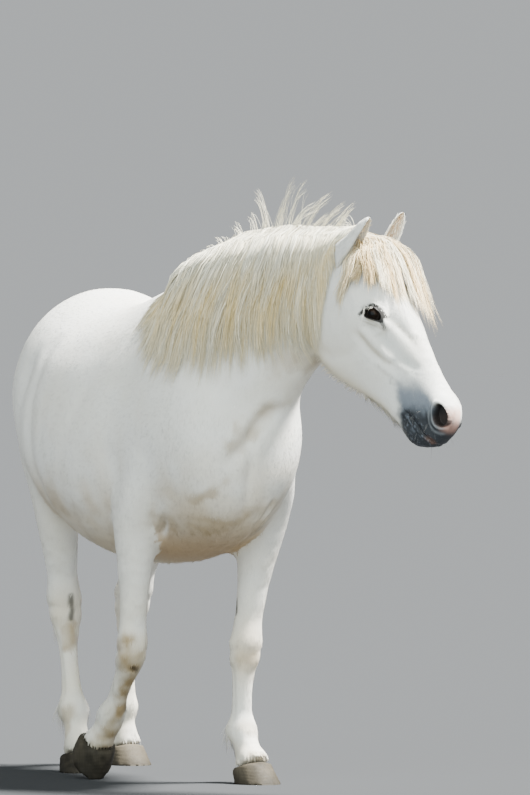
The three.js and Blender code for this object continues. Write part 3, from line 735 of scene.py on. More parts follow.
@dataclass(frozen=True)
class EyeOpening:
    """The almond between the lids, with the lids' folds. Millimetres from the eyeball's middle."""

    half_length: float = 20.5
    upper: float = 17.0
    lower: float = 13.0
    tear: float = 13.0
    lean: float = math.radians(39.5)
    ball: float = 24.0
    lid: float = 2.4
    back: float = 5.0

    @staticmethod
    def out(side: Side) -> Array:
        """The direction in which an eye looks out of the head."""
        _, front, left = HEAD.axes
        return unit(left * side.value + front * 0.2)

    def axes(self, side: Side) -> Array:
        """Rows: towards the tear corner, up across the lids, out of the head."""
        down, front, _ = HEAD.axes
        out = self.out(side)
        long = down * math.cos(self.lean) + front * math.sin(self.lean)
        long = unit(long - out * (long @ out))
        up = np.cross(out, long)
        return np.array([long, up if up @ front > 0 else -up, out])

    def local(self, points: Array, side: Side) -> Array:
        """Places in an eye's own directions, from the eyeball's middle."""
        return (points - node_middle(side.eye)) @ self.axes(side).T / MM

    def almond(self, local: Array) -> Array:
        """The ring round the opening that a place lies on: below one inside, above one on the lids."""
        a, b, _ = local.T
        a = a + self.back
        bend = b + 0.004 * a**2
        long = np.where(a > 0, self.half_length + self.tear, self.half_length)
        high = np.where(bend > 0, self.upper, self.lower)
        return np.sqrt(np.abs(a / long) ** 1.7 + np.abs(bend / high) ** 2)

    def shape(self, points: Array, side: Side) -> Array:
        """Forms one eye's socket and lids.

        Args:
            points: Places on the skin.
            side: Which eye.
        Returns:
            The places, moved.
        """
        local = self.local(points, side)
        a, b, out = local.T
        rho = np.hypot(a, b)
        ring = self.almond(local)
        near = (rho < 62) & (out > -6)
        cap = np.sqrt(np.maximum((self.ball + self.lid) ** 2 - np.minimum(rho, 21.0) ** 2, 0.0))
        lid_top = mix(cap, out, ease(1.0, 2.35, ring) * (1 - 0.2 * ease(14, 30, a)))
        crease = -2.2 * hump(b + 0.004 * a**2, 24.5, 2.4) - 1.6 * hump(b + 0.003 * a**2, -20.5, 2.4)
        crease -= 1.2 * hump(b, -27.5, 2.4) + 1.2 * hump(b, 31.5, 2.6)
        brow = 4.5 * mound(a, b, (-4, 31), (24, 9))
        folds = (crease * ease(34, 16, np.abs(a)) + brow) * ease(1.15, 1.5, ring)
        sunk = np.sqrt(np.maximum((self.ball - 3.5) ** 2 - np.minimum(rho, 20.0) ** 2, 0.0))
        wanted = np.where(ring < 1, sunk - 2.0 * ease(1, 0.7, ring), lid_top + folds)
        wanted += 1.1 * hump(ring, 1.08, 0.08)
        moved = np.where(near, wanted - out, 0.0) * ease(62, 50, rho)
        return points + moved[:, None] * self.out(side) * MM


@dataclass(frozen=True)
class Nostril:
    """The comma-shaped opening on each side of the muzzle, in millimetres."""

    along: float = 556.0
    front: float = 0.5
    half_length: float = 31.5
    half_width: float = 20.5
    depth: float = 27.0
    lean: float = math.radians(-16)
    base: float = 50.0
    far: float = 9.0

    def across(self, head: Array) -> tuple[Array, Array]:
        """Places along and across the opening."""
        c, s = math.cos(self.lean), math.sin(self.lean)
        t, f = head[:, 0] - self.along, head[:, 1] - self.front + self.far * (head[:, 2] > 0)
        return t * c + f * s, -t * s + f * c

    def ring(self, head: Array) -> Array:
        """Below one inside the opening, which is widest low down."""
        a, b = self.across(head)
        return np.hypot(a / self.half_length, b / (self.half_width * (1 + 0.007 * a)))

    def shape(self, head: Array) -> Array:
        """Forms both nostrils.

        Args:
            head: Places in the head's own directions.
        Returns:
            The places, moved.
        """
        a, b = self.across(head)
        ring = self.ring(head)
        wide = np.abs(head[:, 2])
        hollow = self.base - 3 - self.depth * ease(1.02, 0.80, ring)
        rim = 4.2 * hump(ring, 1.2, 0.17) * (0.65 - 0.35 * np.tanh(b / 8))
        folds = (3.0 * hump(b, -33, 4.5) - 3.0 * hump(b, -26, 3.6)) * ease(30, 14, np.abs(a + 4))
        raised = wide + rim + folds
        mixed = mix(raised, np.where(ring < 1.02, hollow, raised), ease(1.10, 1.0, ring))
        out = head.copy()
        out[:, 2] = np.where((ring < 2.2) & (wide > 14), np.sign(head[:, 2]) * mixed, head[:, 2])
        return out


MOUTH = MouthLine()
EYE_OPENING = EyeOpening()
NOSTRIL = Nostril()


def wrinkles(head: Array) -> Array:
    """The fine slanting wrinkles of lower lip and chin, from -1 to 1."""
    along, front, _ = head.T
    return np.sin(along / 1.5 + 0.12 * np.abs(front + 92) + 3.4 * cloudy(head * MM, 0.012, 21))


def face_relief(head: Array) -> Array:
    """Bone, muscle, veins and wrinkles of the head.

    Args:
        head: Places in the head's own directions.
    Returns:
        How far each place moves out, in millimetres.
    """
    along, front, side = head.T
    wide = np.abs(side)
    outer, brow = ease(30, 45, wide), ease(40, 60, wide)
    total = np.zeros(len(head))
    strokes = (  # height, width, where, path
        (5.4, 12, outer, ((256, -64), (307, -56), (348, -46))),
        (-3.8, 14, outer, ((250, -86), (300, -82), (350, -66), (362, -48))),
        (-5.0, 16, outer, ((252, -46), (301, -26), (363, -18), (405, -4))),
        (2.4, 12, hump(wide, 38, 18), ((240, 34), (330, 44), (400, 50))),
        (-3.4, 9, hump(wide, 52, 20), ((258, 11), (320, 24), (372, 33), (402, 35))),
        (1.6, 4.5, 1.0, ((352, -46), (372, -36), (397, -22), (420, 2))),
        (3.4, 8.0, 1.0, ((344, -79), (368, -70), (392, -60), (416, -54))),
    )
    for height, width, where, path in strokes:
        total += height * hump(apart(head[:, :2], path), 0, width) * where
    mounds = (  # height, middle, size, where
        (8.0 + 3.0 * (side > 0), (522, 13), (32, 25), ease(8, 34, wide)),
        (2.6, (403, -72), (7, 6), 1.0),
        (5.0, (556, -108), (26, 20), 1.0),
        (-4.0, (500, -124), (18, 18), 1.0),
        (-4.0, (168, 6), (26, 20), brow),
        (2.4, (160, -42), (40, 12), brow),
        (-3.0, (492, -30), (26, 26), ease(20, 34, wide)),
    )
    for height, at, size, where in mounds:
        total += height * mound(along, front, at, size) * where
    cheek = np.hypot((along - 172) / 88, (front + 118) / 92)
    total += 4.5 * ease(1.25, 0.4, cheek) - 1.8 * hump(cheek, 1.18, 0.2)
    total += 2.0 * hump(side, 0, 20) * ease(520, 560, along) * ease(-60, -30, front)
    return total + 0.5 * wrinkles(head) * ease(486, 510, along) * ease(-58, -74, front)


# ---------------------------------------------------------------- the skin
@dataclass
class Skin:
    """The one skin over trunk, neck, head, ears and legs, set in from the solids by the coat's depth."""

    voxel: float = 0.0131
    rounds: int = 33
    set_in: float = 0.0030
    piece: Piece = field(init=False)
    found: Array = field(init=False)

    def build(self) -> "Skin":
        """Makes the mesh: joined, evened, refilled, divided where it needs detail, and shaped."""
        self.piece = copied("skin", FLESH + EYES)
        remesh(self.piece, self.voxel)
        soften(self.piece, self.rounds, self.softness())
        self.refill(64)
        self.divide_parts()
        self.shape_body()
        self.shape_head()
        self.add_ears()
        smooth_shaded(self.piece)
        self.dress_points()
        return self

    def spots(self) -> Spots:
        """The skin's places as they now are."""
        points = corners(self.piece)
        return Spots(points, outward(self.piece), REGIONS.of(points))

    def softness(self) -> Array:
        """How strongly each place is evened out: much on the trunk, little on legs and head."""
        spots = self.spots()
        share = np.full(len(spots.points), 1.0)
        share[spots.among("neck")] = 0.6
        share[spots.among(*HEAD_PARTS)] = 0.1
        legs = 0.07 + 0.8 * ease(0.62, 0.86, spots.points[:, 2])
        return spread(self.piece, np.where(spots.among(*LEG_PARTS), legs, share), 12)

    def refill(self, rounds: int) -> None:
        """Pushes the evened skin back out to the solids, whose flat facets stay behind.

        Args:
            rounds: How far the push is spread over the neighbours.
        """
        points, normals = corners(self.piece), outward(self.piece)
        nearest = np.array([tuple(REGIONS.tree.find_nearest(p)[0]) for p in points.tolist()])
        short = np.sum((nearest - points) * normals, axis=1)
        place(self.piece, points + normals * spread(self.piece, short, rounds)[:, None])

    def divide_parts(self) -> None:
        """Makes the mesh finer over head, lower legs and breast, and finer again at the face's openings."""
        divide(self.piece, lambda p: self.near_head(p, -60) | self.on_leg_or_breast(p))
        soften(self.piece, 3, 0.8)
        divide(self.piece, lambda p: self.near_head(p, 478) | self.near_eyes(p, 50))
        divide(self.piece, self.at_openings)
        soften(self.piece, 2, 0.5 * self.near_head(corners(self.piece), -60))

    def at_openings(self, points: Array) -> Array:
        """Where a place lies round a nostril, along the lips or on the lids."""
        head = HEAD.local(points)
        nostril = (np.hypot(head[:, 0] - 553, head[:, 1]) < 44) & (np.abs(head[:, 2]) > 18)
        mouth = (apart(head[:, :2], MOUTH.path) < 12) & (head[:, 0] > 480)
        return (self.near_head(points, 478) & (nostril | mouth)) | self.near_eyes(points, 36)

    @staticmethod
    def on_leg_or_breast(points: Array) -> Array:
        """Where a place lies on a leg below the elbow, or on the breast and in the armpits."""
        breast = (points[:, 1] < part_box("trunk")[0].y + 0.34) & (points[:, 2] < 1.04)
        return (points[:, 2] < 0.60) | breast

    @staticmethod
    def near_head(points: Array, start: float) -> Array:
        """Where a place lies on the head, from a distance down the face on."""
        along, front, side = HEAD.local(points).T
        past = (along > start) & (along + 0.35 * front > start - 45)
        return past & (front > -270) & (np.abs(side) < 130)

    @staticmethod
    def near_eyes(points: Array, reach: float) -> Array:
        """Where a place lies within some millimetres of an eye's middle."""
        away = [np.linalg.norm(points - node_middle(eye), axis=1) for eye in EYES]
        return np.min(away, axis=0) < reach * MM

    def shape_body(self) -> None:
        """Sets the skin in and adds the muscle, bone and creases of trunk and legs."""
        spots = self.spots()
        legs = spots.among(*LEG_PARTS)
        depth = np.where(legs, 0.0012, self.set_in)
        depth = spread(self.piece, np.where(spots.among(*HEAD_PARTS), 0.0004, depth), 10)
        relief = body_relief(spots.points, spots.normals, legs)
        place(self.piece, spots.points + spots.normals * (relief - depth)[:, None])

    def shape_head(self) -> None:
        """Shapes bone, lips, nostrils and lids."""
        points, normals = corners(self.piece), outward(self.piece)
        head = HEAD.local(points)
        on_head = self.near_head(points, 20) * ease(20, 90, head[:, 0])
        shift = face_relief(head) + MOUTH.shift(head) * (head[:, 0] > 470)
        points += normals * (shift * on_head * MM)[:, None]
        head = NOSTRIL.shape(HEAD.local(points))
        on_muzzle = self.near_head(points, 470) & (head[:, 0] > 480)
        points[on_muzzle] = HEAD.world(head)[on_muzzle]
        for side in Side:
            moved = EYE_OPENING.shape(points, side)
            points = np.where(self.near_head(points, 120)[:, None], moved, points)
        place(self.piece, points)
        fine = ease(500, 540, HEAD.local(points)[:, 0]) * on_head
        soften(self.piece, 2, 0.5 * fine + 0.25 * self.near_eyes(points, 60))

    def add_ears(self) -> None:
        """Joins the two ears to the skin's mesh."""
        ears = [Ear(name).build() for name in EARS]
        make_active(self.piece)
        for ear in ears:
            ear.select_set(True)
        bpy.ops.object.join()

    def dress_points(self) -> None:
        """Paints the markings, the painted shade in nostrils, ear cups and face, and how far the hair falls
        straight down.
        """
        spots = self.spots()
        self.found = spots.found
        tint = self.eye_rims(spots.points, COAT.colour(spots))
        tint = self.inner_ears(self.shade_nostrils(spots.points, tint))
        paint(self.piece, TINT, tint)
        paint(self.piece, FALL, np.abs(COAT.lie(spots)[:, 2]))

    @staticmethod
    def eye_rims(points: Array, tint: Array) -> Array:
        """Darkens the bare rims of the lids and the tear corner."""
        for side in Side:
            local = EYE_OPENING.local(points, side)
            a, b, out = local.T
            ring = EYE_OPENING.almond(local)
            close = (np.hypot(a, b) < 62) & (out > 0)
            thick = 1.20 + 0.42 * ease(-2, 8, b) * ease(-26, -10, a)
            dark = 0.97 * ease(thick + 0.12, thick, ring)
            dark += 0.4 * ease(1.8, 1.3, ring) * ease(0, 8, b)
            dark += 0.7 * ease(8, 3, apart(local[:, :2], ((29, -8), (40, -16), (48, -27))))
            dark += 0.85 * ease(7, 2.5, apart(local[:, :2], ((-22, -2), (-31, -8), (-33, -14))))
            tint = blend(tint, COAT.ink, np.clip(dark * close, 0, 0.97))
        return tint

    def shade_nostrils(self, points: Array, tint: Array) -> Array:
        """Paints shade, near black, inside the nostrils, and evens out the colours round them."""
        head = HEAD.local(points)
        wide = np.abs(head[:, 2])
        ring = NOSTRIL.ring(head)
        # Painted shade: near black in the hollow of each nostril.
        tint = blend(tint, COAT.ink, 0.97 * ease(47.5, 44, wide) * ease(1.10, 1.0, ring))
        soft = np.stack([spread(self.piece, channel, 4) for channel in tint.T], axis=1)
        return blend(tint, soft, ease(2.0, 1.6, ring) * (wide < 80) * (head[:, 0] > 480))

    def inner_ears(self, tint: Array) -> Array:
        """Tints the ears' cups tan: skin that shows through, and painted shade in the hollow."""
        deep = read(self.piece.data.attributes["cup"].data, "value", 1)[:, 0]
        # Tan deepest in the middle of each cup: skin that shows through, and painted shade.
        return blend(tint, (0.42, 0.28, 0.17), 0.85 * np.clip(deep, 0, 1))


@dataclass(frozen=True)
class Fold:
    """A crease, or with a negative depth a ridge, through a few places of the skin. Metres."""

    path: Path
    depth: float
    width: float = 0.009
    lip: float = 0.35

    def mirrored(self) -> "Fold":
        """The same fold on the other side of the trunk."""
        middle = 2 * node_middle("trunk")[0]
        return replace(self, path=tuple((middle - x, y, z) for x, y, z in self.path))

    def shift(self, points: Array) -> Array:
        """How far each place moves out."""
        away, along = off_path(points, self.path)
        groove = self.lip * hump(away, 2.0 * self.width, self.width) - hump(away, 0, self.width)
        return self.depth * groove * thin_ends(along)


NECK_FOLD = Fold(((0.06, -0.46, 1.12), (0.0, -0.504, 1.03), (-0.04, -0.498, 0.974), (-0.084, -0.498, 0.928),
                  (-0.124, -0.487, 0.874)), 0.010, 0.019)
FLANK_FOLD = Fold(((-0.30, 0.42, 1.26), (-0.34, 0.40, 1.15), (-0.375, 0.39, 1.02), (-0.375, 0.40, 0.93),
                   (-0.34, 0.40, 0.83), (-0.26, 0.42, 0.72)), 0.008, 0.034, 0.2)
SHOULDER_FOLD = Fold(((-0.17, -0.06, 1.24), (-0.25, -0.04, 1.08), (-0.29, -0.06, 0.92), (-0.28, -0.12, 0.80)),
                     0.0055, 0.042, 0.2)
BODY_FOLDS = (
    NECK_FOLD,
    Fold(((0.03, -0.45, 0.79), (0.0, -0.40, 0.738), (-0.002, -0.36, 0.707), (0.021, -0.20, 0.662)),
         0.011, 0.009),
    Fold(((-0.005, -0.385, 0.752), (-0.012, -0.34, 0.716), (0.004, -0.23, 0.668)), 0.006, 0.006),
    Fold(((0.045, -0.40, 0.742), (0.026, -0.34, 0.702), (0.03, -0.24, 0.664)), 0.006, 0.006),
    Fold(((-0.20, -0.30, 0.80), (-0.205, -0.23, 0.74), (-0.195, -0.18, 0.702), (-0.17, -0.10, 0.67)),
         0.009, 0.010),
    Fold(((-0.175, -0.30, 0.77), (-0.178, -0.22, 0.72), (-0.165, -0.15, 0.68)), 0.005, 0.006),
    FLANK_FOLD,
    FLANK_FOLD.mirrored(),
    SHOULDER_FOLD,
    SHOULDER_FOLD.mirrored(),
)


def body_relief(points: Array, normals: Array, legs: Array) -> Array:
    """How far the skin of trunk and legs moves out.

    Args:
        points: Places on the skin.
        normals: The outward directions there.
        legs: Where a place lies on a leg.
    Returns:
        Metres for each place.
    """
    wide = np.abs(points[:, 0] - node_middle("trunk")[0])
    y = points[:, 1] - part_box("trunk")[0].y
    z = points[:, 2]
    # A furrow between the breast's two muscles, the shoulder blade's edge, the ribs and the hollow flank.
    furrow = hump(wide, 0, 0.016) * ease(0.30, 0.05, y) * hump(z, 0.86, 0.14)
    edge = hump(y - 0.62 + 0.55 * (z - 1.0), 0, 0.03) * hump(z, 1.02, 0.2) * ease(0.1, 0.2, wide)
    ribs = np.sin((y + 0.25 * z) / 0.0105) * hump(y, 0.86, 0.16) * hump(z, 0.98, 0.13)
    flank = mound(y, z, (1.02, 1.12), (0.06, 0.08)) * ease(0.12, 0.2, wide)
    trunk = ~legs & (y > -0.02)
    total = 0.0012 * cloudy(points, 0.12, 11)
    total += (0.0005 * ribs - 0.009 * furrow - 0.004 * edge - 0.012 * flank) * trunk
    bent = points + 0.009 * cloudy_shift(points, 0.07, (41, 42, 43))
    for fold in BODY_FOLDS:
        total += fold.shift(bent)
    for line in LEG_LINES.values():
        total += leg_relief(points, normals, line) * legs
    return total


def leg_relief(points: Array, normals: Array, line: dict[str, Array]) -> Array:
    """Bone and sinew of one leg: knee or hock, sinews, fetlock.

    Args:
        points: Places on the skin.
        normals: The outward directions there.
        line: The leg's joints.
    Returns:
        How far each place moves out, in metres.
    """
    knee, fetlock = points - line["knee"], points - line["fetlock"]
    bone = line["fetlock"] - line["knee"]
    share = np.clip((knee @ bone) / (bone @ bone), 0, 1)
    off_bone = points - (line["knee"] + share[:, None] * bone)
    middle = ease(0.12, 0.25, share) * ease(0.97, 0.85, share)
    at_knee, at_fetlock = knee[:, 2], fetlock[:, 2]
    flank = ease(0.3, 0.9, np.abs(normals[:, 0]))
    ahead = ease(0.2, 0.9, -normals[:, 1])
    behind = ease(0.0, 0.03, fetlock[:, 1])
    total = 0.0006 * np.sin(at_knee / 0.0085) * hump(at_knee, 0, 0.045)
    bands = (  # height, level, its middle and width, where
        (-0.0026, off_bone[:, 1], 0.008, 0.006, middle),
        (0.0030, at_fetlock, -0.012, 0.020, behind),
        (-0.0030, at_fetlock, -0.050, 0.014, behind),
        (0.0026, at_knee, 0.030, 0.022, np.maximum(flank, ahead)),
        (0.0018, at_knee, -0.022, 0.018, flank),
        (-0.0014, at_knee, 0.002, 0.010, flank),
        (-0.0014, at_knee, -0.058, 0.022, 1.0),
        (-0.0016, at_knee, 0.080, 0.026, ahead),
        (0.0030, at_fetlock, 0.004, 0.019, np.maximum(flank, 0.7 * ahead)),
        (-0.0014, at_fetlock, 0.044, 0.018, 1.0),
        (-0.0022, at_fetlock, -0.040, 0.016, 1.0),
    )
    for height, level, centre, width, where in bands:
        total += height * hump(level, centre, width) * where
    own = np.linalg.norm(points[:, :2] - (line["knee"] + line["fetlock"])[:2] / 2, axis=1) < 0.2
    return total * own


# ---------------------------------------------------------------- ears
@dataclass(frozen=True)
class EarPlace:
    """Root of an ear in the head's own directions, its reach out, forward and up, and its twist outward."""

    root: Triple
    reach: Triple
    twist: float
    half_width: float


EAR_PLACES = {
    "ear_left": EarPlace((38, 8, 95), (30, 44, 114), -0.7, 0.0215),
    "ear_right": EarPlace((44, -24, -68), (18, 93, 109), -0.12, 0.0325),
}
EAR_STOPS = (0, 0.15, 0.35, 0.6, 0.82, 0.94, 1.0)
EAR_WIDTH = (0.80, 0.90, 1.0, 0.92, 0.66, 0.42, 0.16)
EAR_CUP = (0.80, 0.74, 0.60, 0.48, 0.34, 0.20, 0.10)


@dataclass
class Ear:
    """A cupped ear with a thin rolled rim, along the axis of its node in the frame."""

    name: str
    depth: float = 0.062
    wall: float = 0.0042
    around: int = 32
    stations: int = 44
    sink: float = 0.026

    def directions(self) -> tuple[Array, Array]:
        """Level directions ahead of and out from the head."""
        side = 1 if self.name.endswith("left") else -1
        c, s = math.cos(HEAD.turn), math.sin(HEAD.turn)
        return np.array([s, -c, 0.0]), np.array([c, s, 0.0]) * side

    def axis(self) -> tuple[Array, Array]:
        """Root and tip of the ear."""
        spot = EAR_PLACES[self.name]
        root = HEAD.world(spot.root)
        ahead, outside = self.directions()
        out, forward, high = spot.reach
        return root, root + (outside * out + ahead * forward + UP * high) * MM

    def build(self) -> Piece:
        """Makes the ear's closed mesh, with its cup marked."""
        spot = EAR_PLACES[self.name]
        root, tip = self.axis()
        length = float(np.linalg.norm(tip - root))
        stem = (tip - root) / length
        ahead, outside = self.directions()
        opening = unit(ahead - stem * (ahead @ stem))
        outside = unit(outside - stem * (outside @ stem) - opening * (outside @ opening))
        opening = opening * math.cos(spot.twist) + outside * math.sin(spot.twist)
        across = np.cross(stem, opening)
        angles = np.linspace(-0.10, math.pi + 0.10, self.around // 2)
        back = angles[::-1]
        rings, cups = [], []
        for share in np.linspace(-self.sink / length, 1.0, self.stations):
            s = max(share, 0.0)
            width = spot.half_width * np.interp(s, EAR_STOPS, EAR_WIDTH)
            cup = self.depth * np.interp(s, EAR_STOPS, EAR_CUP)
            wall = self.wall * np.interp(s, (0, 0.4, 0.9, 1), (1.3, 1.0, 0.7, 0.4))
            inner = self.arch(back, max(width - wall, width * 0.3), max(cup - wall * 1.4, 0.0002))
            flat = np.concatenate([self.arch(angles, width, cup), inner])
            middle = root + stem * share * length + opening * 0.004 * math.sin(math.pi * s)
            rings.append(middle + flat[:, :1] * across + flat[:, 1:] * opening)
            deep = ease(0.02, 0.12, s) * np.sin(np.clip(back, 0, math.pi))
            cups.append(np.concatenate([np.zeros(len(angles)), deep]))
        made = loft(self.name + "_skin", np.array(rings))
        cup = made.data.attributes.new("cup", "FLOAT", "POINT")
        cup.data.foreach_set("value", np.concatenate([*cups, [0, 0]]).astype(np.float32))
        return made

    @staticmethod
    def arch(angles: Array, wide: float, deep: float) -> Array:
        """Half an egg, open to the front, as across and forward places."""
        return np.stack([wide * np.cos(angles), -deep * np.sin(angles)], axis=1)


def loft(name: str, rings: Array) -> Piece:
    """A closed mesh through rings of equal count, with a fan over each end.

    Args:
        name: The object's name.
        rings: Rings by places by 3.
    Returns:
        The linked object, with its faces outward.
    """
    count = rings.shape[1]
    last = (len(rings) - 1) * count
    points = np.concatenate([rings.reshape(-1, 3), [rings[0].mean(0)], [rings[-1].mean(0)]])
    shape = bmesh.new()
    verts = [shape.verts.new(p) for p in points]
    for a in range(0, last, count):
        for i in range(count):
            j = (i + 1) % count
            shape.faces.new((verts[a + i], verts[a + j], verts[a + count + j], verts[a + count + i]))
    for i in range(count):
        j = (i + 1) % count
        shape.faces.new((verts[-2], verts[j], verts[i]))
        shape.faces.new((verts[-1], verts[last + i], verts[last + j]))
    bmesh.ops.recalc_face_normals(shape, faces=shape.faces)
    return from_shape(name, shape)


# ---------------------------------------------------------------- shader maths
@dataclass(frozen=True)
class Sock:
    """A shader output that takes part in sums, differences, products and quotients."""

    graph: "Graph"
    socket: bpy.types.NodeSocket

    def __add__(self, other: Any) -> "Sock":
        """Sum."""
        return self.graph.maths("ADD", self, other)

    def __sub__(self, other: Any) -> "Sock":
        """Difference."""
        return self.graph.maths("SUBTRACT", self, other)

    def __rsub__(self, other: Any) -> "Sock":
        """Difference, the other way round."""
        return self.graph.maths("SUBTRACT", other, self)

    def __mul__(self, other: Any) -> "Sock":
        """Product."""
        return self.graph.maths("MULTIPLY", self, other)

    def __truediv__(self, other: Any) -> "Sock":
        """Quotient."""
        return self.graph.maths("DIVIDE", self, other)

    def __rtruediv__(self, other: Any) -> "Sock":
        """Quotient, the other way round."""
        return self.graph.maths("DIVIDE", other, self)

    __radd__ = __add__
    __rmul__ = __mul__


class Graph:
    """A material under construction."""

    def __init__(self, name: str, **constants: Any) -> None:
        """Starts a material whose main shader has these constant inputs."""
        self.material = bpy.data.materials.new(name)
        self.material.use_nodes = True
        self.tree = self.material.node_tree
        self.shader = self.tree.nodes["Principled BSDF"]
        for key, value in constants.items():
            self.feed(self.shader.inputs[key.replace("_", " ")], value)

    def feed(self, socket: bpy.types.NodeSocket, value: Any) -> None:
        """Links a Sock to an input, or sets a constant on it."""
        if isinstance(value, Sock):
            self.tree.links.new(value.socket, socket)
        elif isinstance(value, tuple) and len(value) == 3 and len(socket.default_value) == 4:
            socket.default_value = (*value, 1.0)
        else:
            socket.default_value = value

    def vary(self, name: str, value: Sock) -> None:
        """Links a varying value to an input of the main shader."""
        self.feed(self.shader.inputs[name], value)

    def node(self, kind: str, settings: dict[str, Any] | None = None, out: int = 0, **inputs: Any) -> Sock:
        """Makes any node.

        Args:
            kind: The node's type after ShaderNode.
            settings: Its properties.
            out: Which output to return.
            **inputs: Its inputs by name, with _ for a space.
        Returns:
            One output.
        """
        made = self.tree.nodes.new("ShaderNode" + kind)
        for key, value in (settings or {}).items():
            setattr(made, key, value)
        for key, value in inputs.items():
            self.feed(made.inputs[key.replace("_", " ")], value)
        return Sock(self, made.outputs[out])

    def maths(self, operation: str, a: Any, b: Any) -> Sock:
        """One step of arithmetic."""
        made = self.tree.nodes.new("ShaderNodeMath")
        made.operation = operation
        self.feed(made.inputs[0], a)
        self.feed(made.inputs[1], b)
        return Sock(self, made.outputs[0])

    def noise(self, scale: Triple, detail: float = 2.0) -> Sock:
        """Noise over the piece's own places, from 0 to 1, finer along an axis with a greater scale."""
        at = self.node("TexCoord", out=3)
        fine = self.node("Mapping", {"vector_type": "POINT"}, Vector=at, Scale=scale)
        return self.node("TexNoise", Vector=fine, Scale=1.0, Detail=detail, Roughness=0.6)

    def attribute(self, name: str, out: int = 0) -> Sock:
        """A painted layer of the piece: its colour, or with out=2 its number."""
        return self.node("Attribute", {"attribute_name": name}, out=out)

    def varied(self, colour: Sock, amount: Sock) -> Sock:
        """A colour made lighter or darker by a number round one."""
        return self.node("VectorMath", {"operation": "SCALE"}, Vector=colour, Scale=amount)

    def bump(self, height: Sock, strength: float, distance: float) -> Sock:
        """Relief from a height."""
        return self.node("Bump", Height=height, Strength=strength, Distance=distance)


@dataclass(frozen=True)
class SkinFinish:
    """Short hair over skin: colour from the markings, relief that runs with the lie of the hair."""

    roughness: float = 0.62
    relief: float = 0.35
    depth: float = 0.0014

    def material(self) -> bpy.types.Material:
        """Makes the material."""
        g = Graph("short_coat", Roughness=self.roughness, Specular_IOR_Level=0.28)
        level = g.noise((520, 60, 520))
        upright = g.noise((520, 520, 60))
        broad = g.noise((70, 70, 26))
        fall = g.attribute(FALL, 2)
        hair = level * (1 - fall) + upright * fall
        g.vary("Base Color", g.varied(g.attribute(TINT), 0.88 + 0.18 * hair + 0.06 * broad))
        g.vary("Normal", g.bump(hair + 0.8 * broad, self.relief, self.depth))
        return g.material


@dataclass(frozen=True)
class HairFinish:
    """Locks and tufts: colour from their own layer, a soft gloss."""

    name: str
    roughness: float = 0.5
    gloss: float = 0.35
    fine: float = 700.0

    def material(self) -> bpy.types.Material:
        """Makes the material."""
        g = Graph(self.name, Roughness=self.roughness, Specular_IOR_Level=self.gloss)
        streak = g.noise((self.fine, self.fine, self.fine * 0.08), 1.0)
        g.vary("Base Color", g.varied(g.attribute(TINT), 0.8 + 0.4 * streak))
        return g.material


@dataclass(frozen=True)
class HornFinish:
    """Hoof horn: painted streaks, fine rings, some dull gloss."""

    roughness: float = 0.66

    def material(self) -> bpy.types.Material:
        """Makes the material."""
        g = Graph("hoof_horn", Specular_IOR_Level=0.15)
        grain = g.noise((260, 260, 20))
        rough = g.noise((90, 90, 240))
        g.vary("Base Color", g.varied(g.attribute(TINT), 0.66 + 0.68 * grain))
        g.vary("Roughness", self.roughness - 0.15 + 0.3 * rough)
        g.vary("Normal", g.bump(rough + 0.6 * grain, 0.14, 0.002))
        return g.material


@dataclass(frozen=True)
class EyeFinish:
    """A wet dark eye."""

    roughness: float = 0.12

    def material(self) -> bpy.types.Material:
        """Makes the material."""
        gloss = {"Coat_Weight": 0.07, "Coat_Roughness": 0.03, "Specular_IOR_Level": 0.06}
        g = Graph("wet_eye", Roughness=self.roughness, **gloss)
        g.vary("Base Color", g.attribute(TINT))
        return g.material


@dataclass(frozen=True)
class FloorFinish:
    """A plain matt floor."""

    colour: Triple

    def material(self) -> bpy.types.Material:
        """Makes the material."""
        return Graph("studio_floor", Base_Color=self.colour, Roughness=1.0, Specular_IOR_Level=0.0).material


# ---------------------------------------------------------------- roots and locks
@dataclass
class Unwrap:
    """An unwrap of the skin's own shape, made on a coarse cage, that gives every root its place."""

    skin: Piece
    voxel: float = 0.026
    tree: BVHTree = field(init=False)
    points: Array = field(init=False)
    maps: Array = field(init=False)

    def __post_init__(self) -> None:
        """Makes the cage, unwraps it and keeps only its arrays."""
        cage = linked("cage", self.skin.data.copy())
        remesh(cage, self.voxel)
        bpy.ops.object.mode_set(mode="EDIT")
        bpy.ops.mesh.select_all(action="SELECT")
        bpy.ops.mesh.quads_convert_to_tris()
        bpy.ops.uv.smart_project(angle_limit=math.radians(66), island_margin=0.004)
        bpy.ops.object.mode_set(mode="OBJECT")
        mesh = cage.data
        tris = read(mesh.loops, "vertex_index", 1, np.int32).reshape(-1, 3)
        self.maps = read(mesh.uv_layers.active.uv, "vector", 2).reshape(-1, 3, 2)
        self.points = corners(cage)[tris]
        self.tree = BVHTree.FromPolygons(corners(cage).tolist(), tris.tolist())
        bpy.data.meshes.remove(mesh)

    def at(self, places: Array) -> Array:
        """The place on the unwrap of each place near the skin."""
        found = [self.tree.find_nearest(p) for p in places.tolist()]
        face = np.array([hit[2] for hit in found])
        near = np.array([tuple(hit[0]) for hit in found])
        a, b, c = (self.points[face, k] for k in range(3))
        normal = np.cross(b - a, c - a)
        area = np.maximum(np.sum(normal * normal, axis=1), 1e-18)
        wb = np.sum(np.cross(near - a, c - a) * normal, axis=1) / area
        wc = np.sum(np.cross(b - a, near - a) * normal, axis=1) / area
        weights = np.clip(np.stack([1 - wb - wc, wb, wc], axis=1), 0, 1)
        return np.clip(np.einsum("ij,ijk->ik", weights, self.maps[face]), 0.002, 0.998)


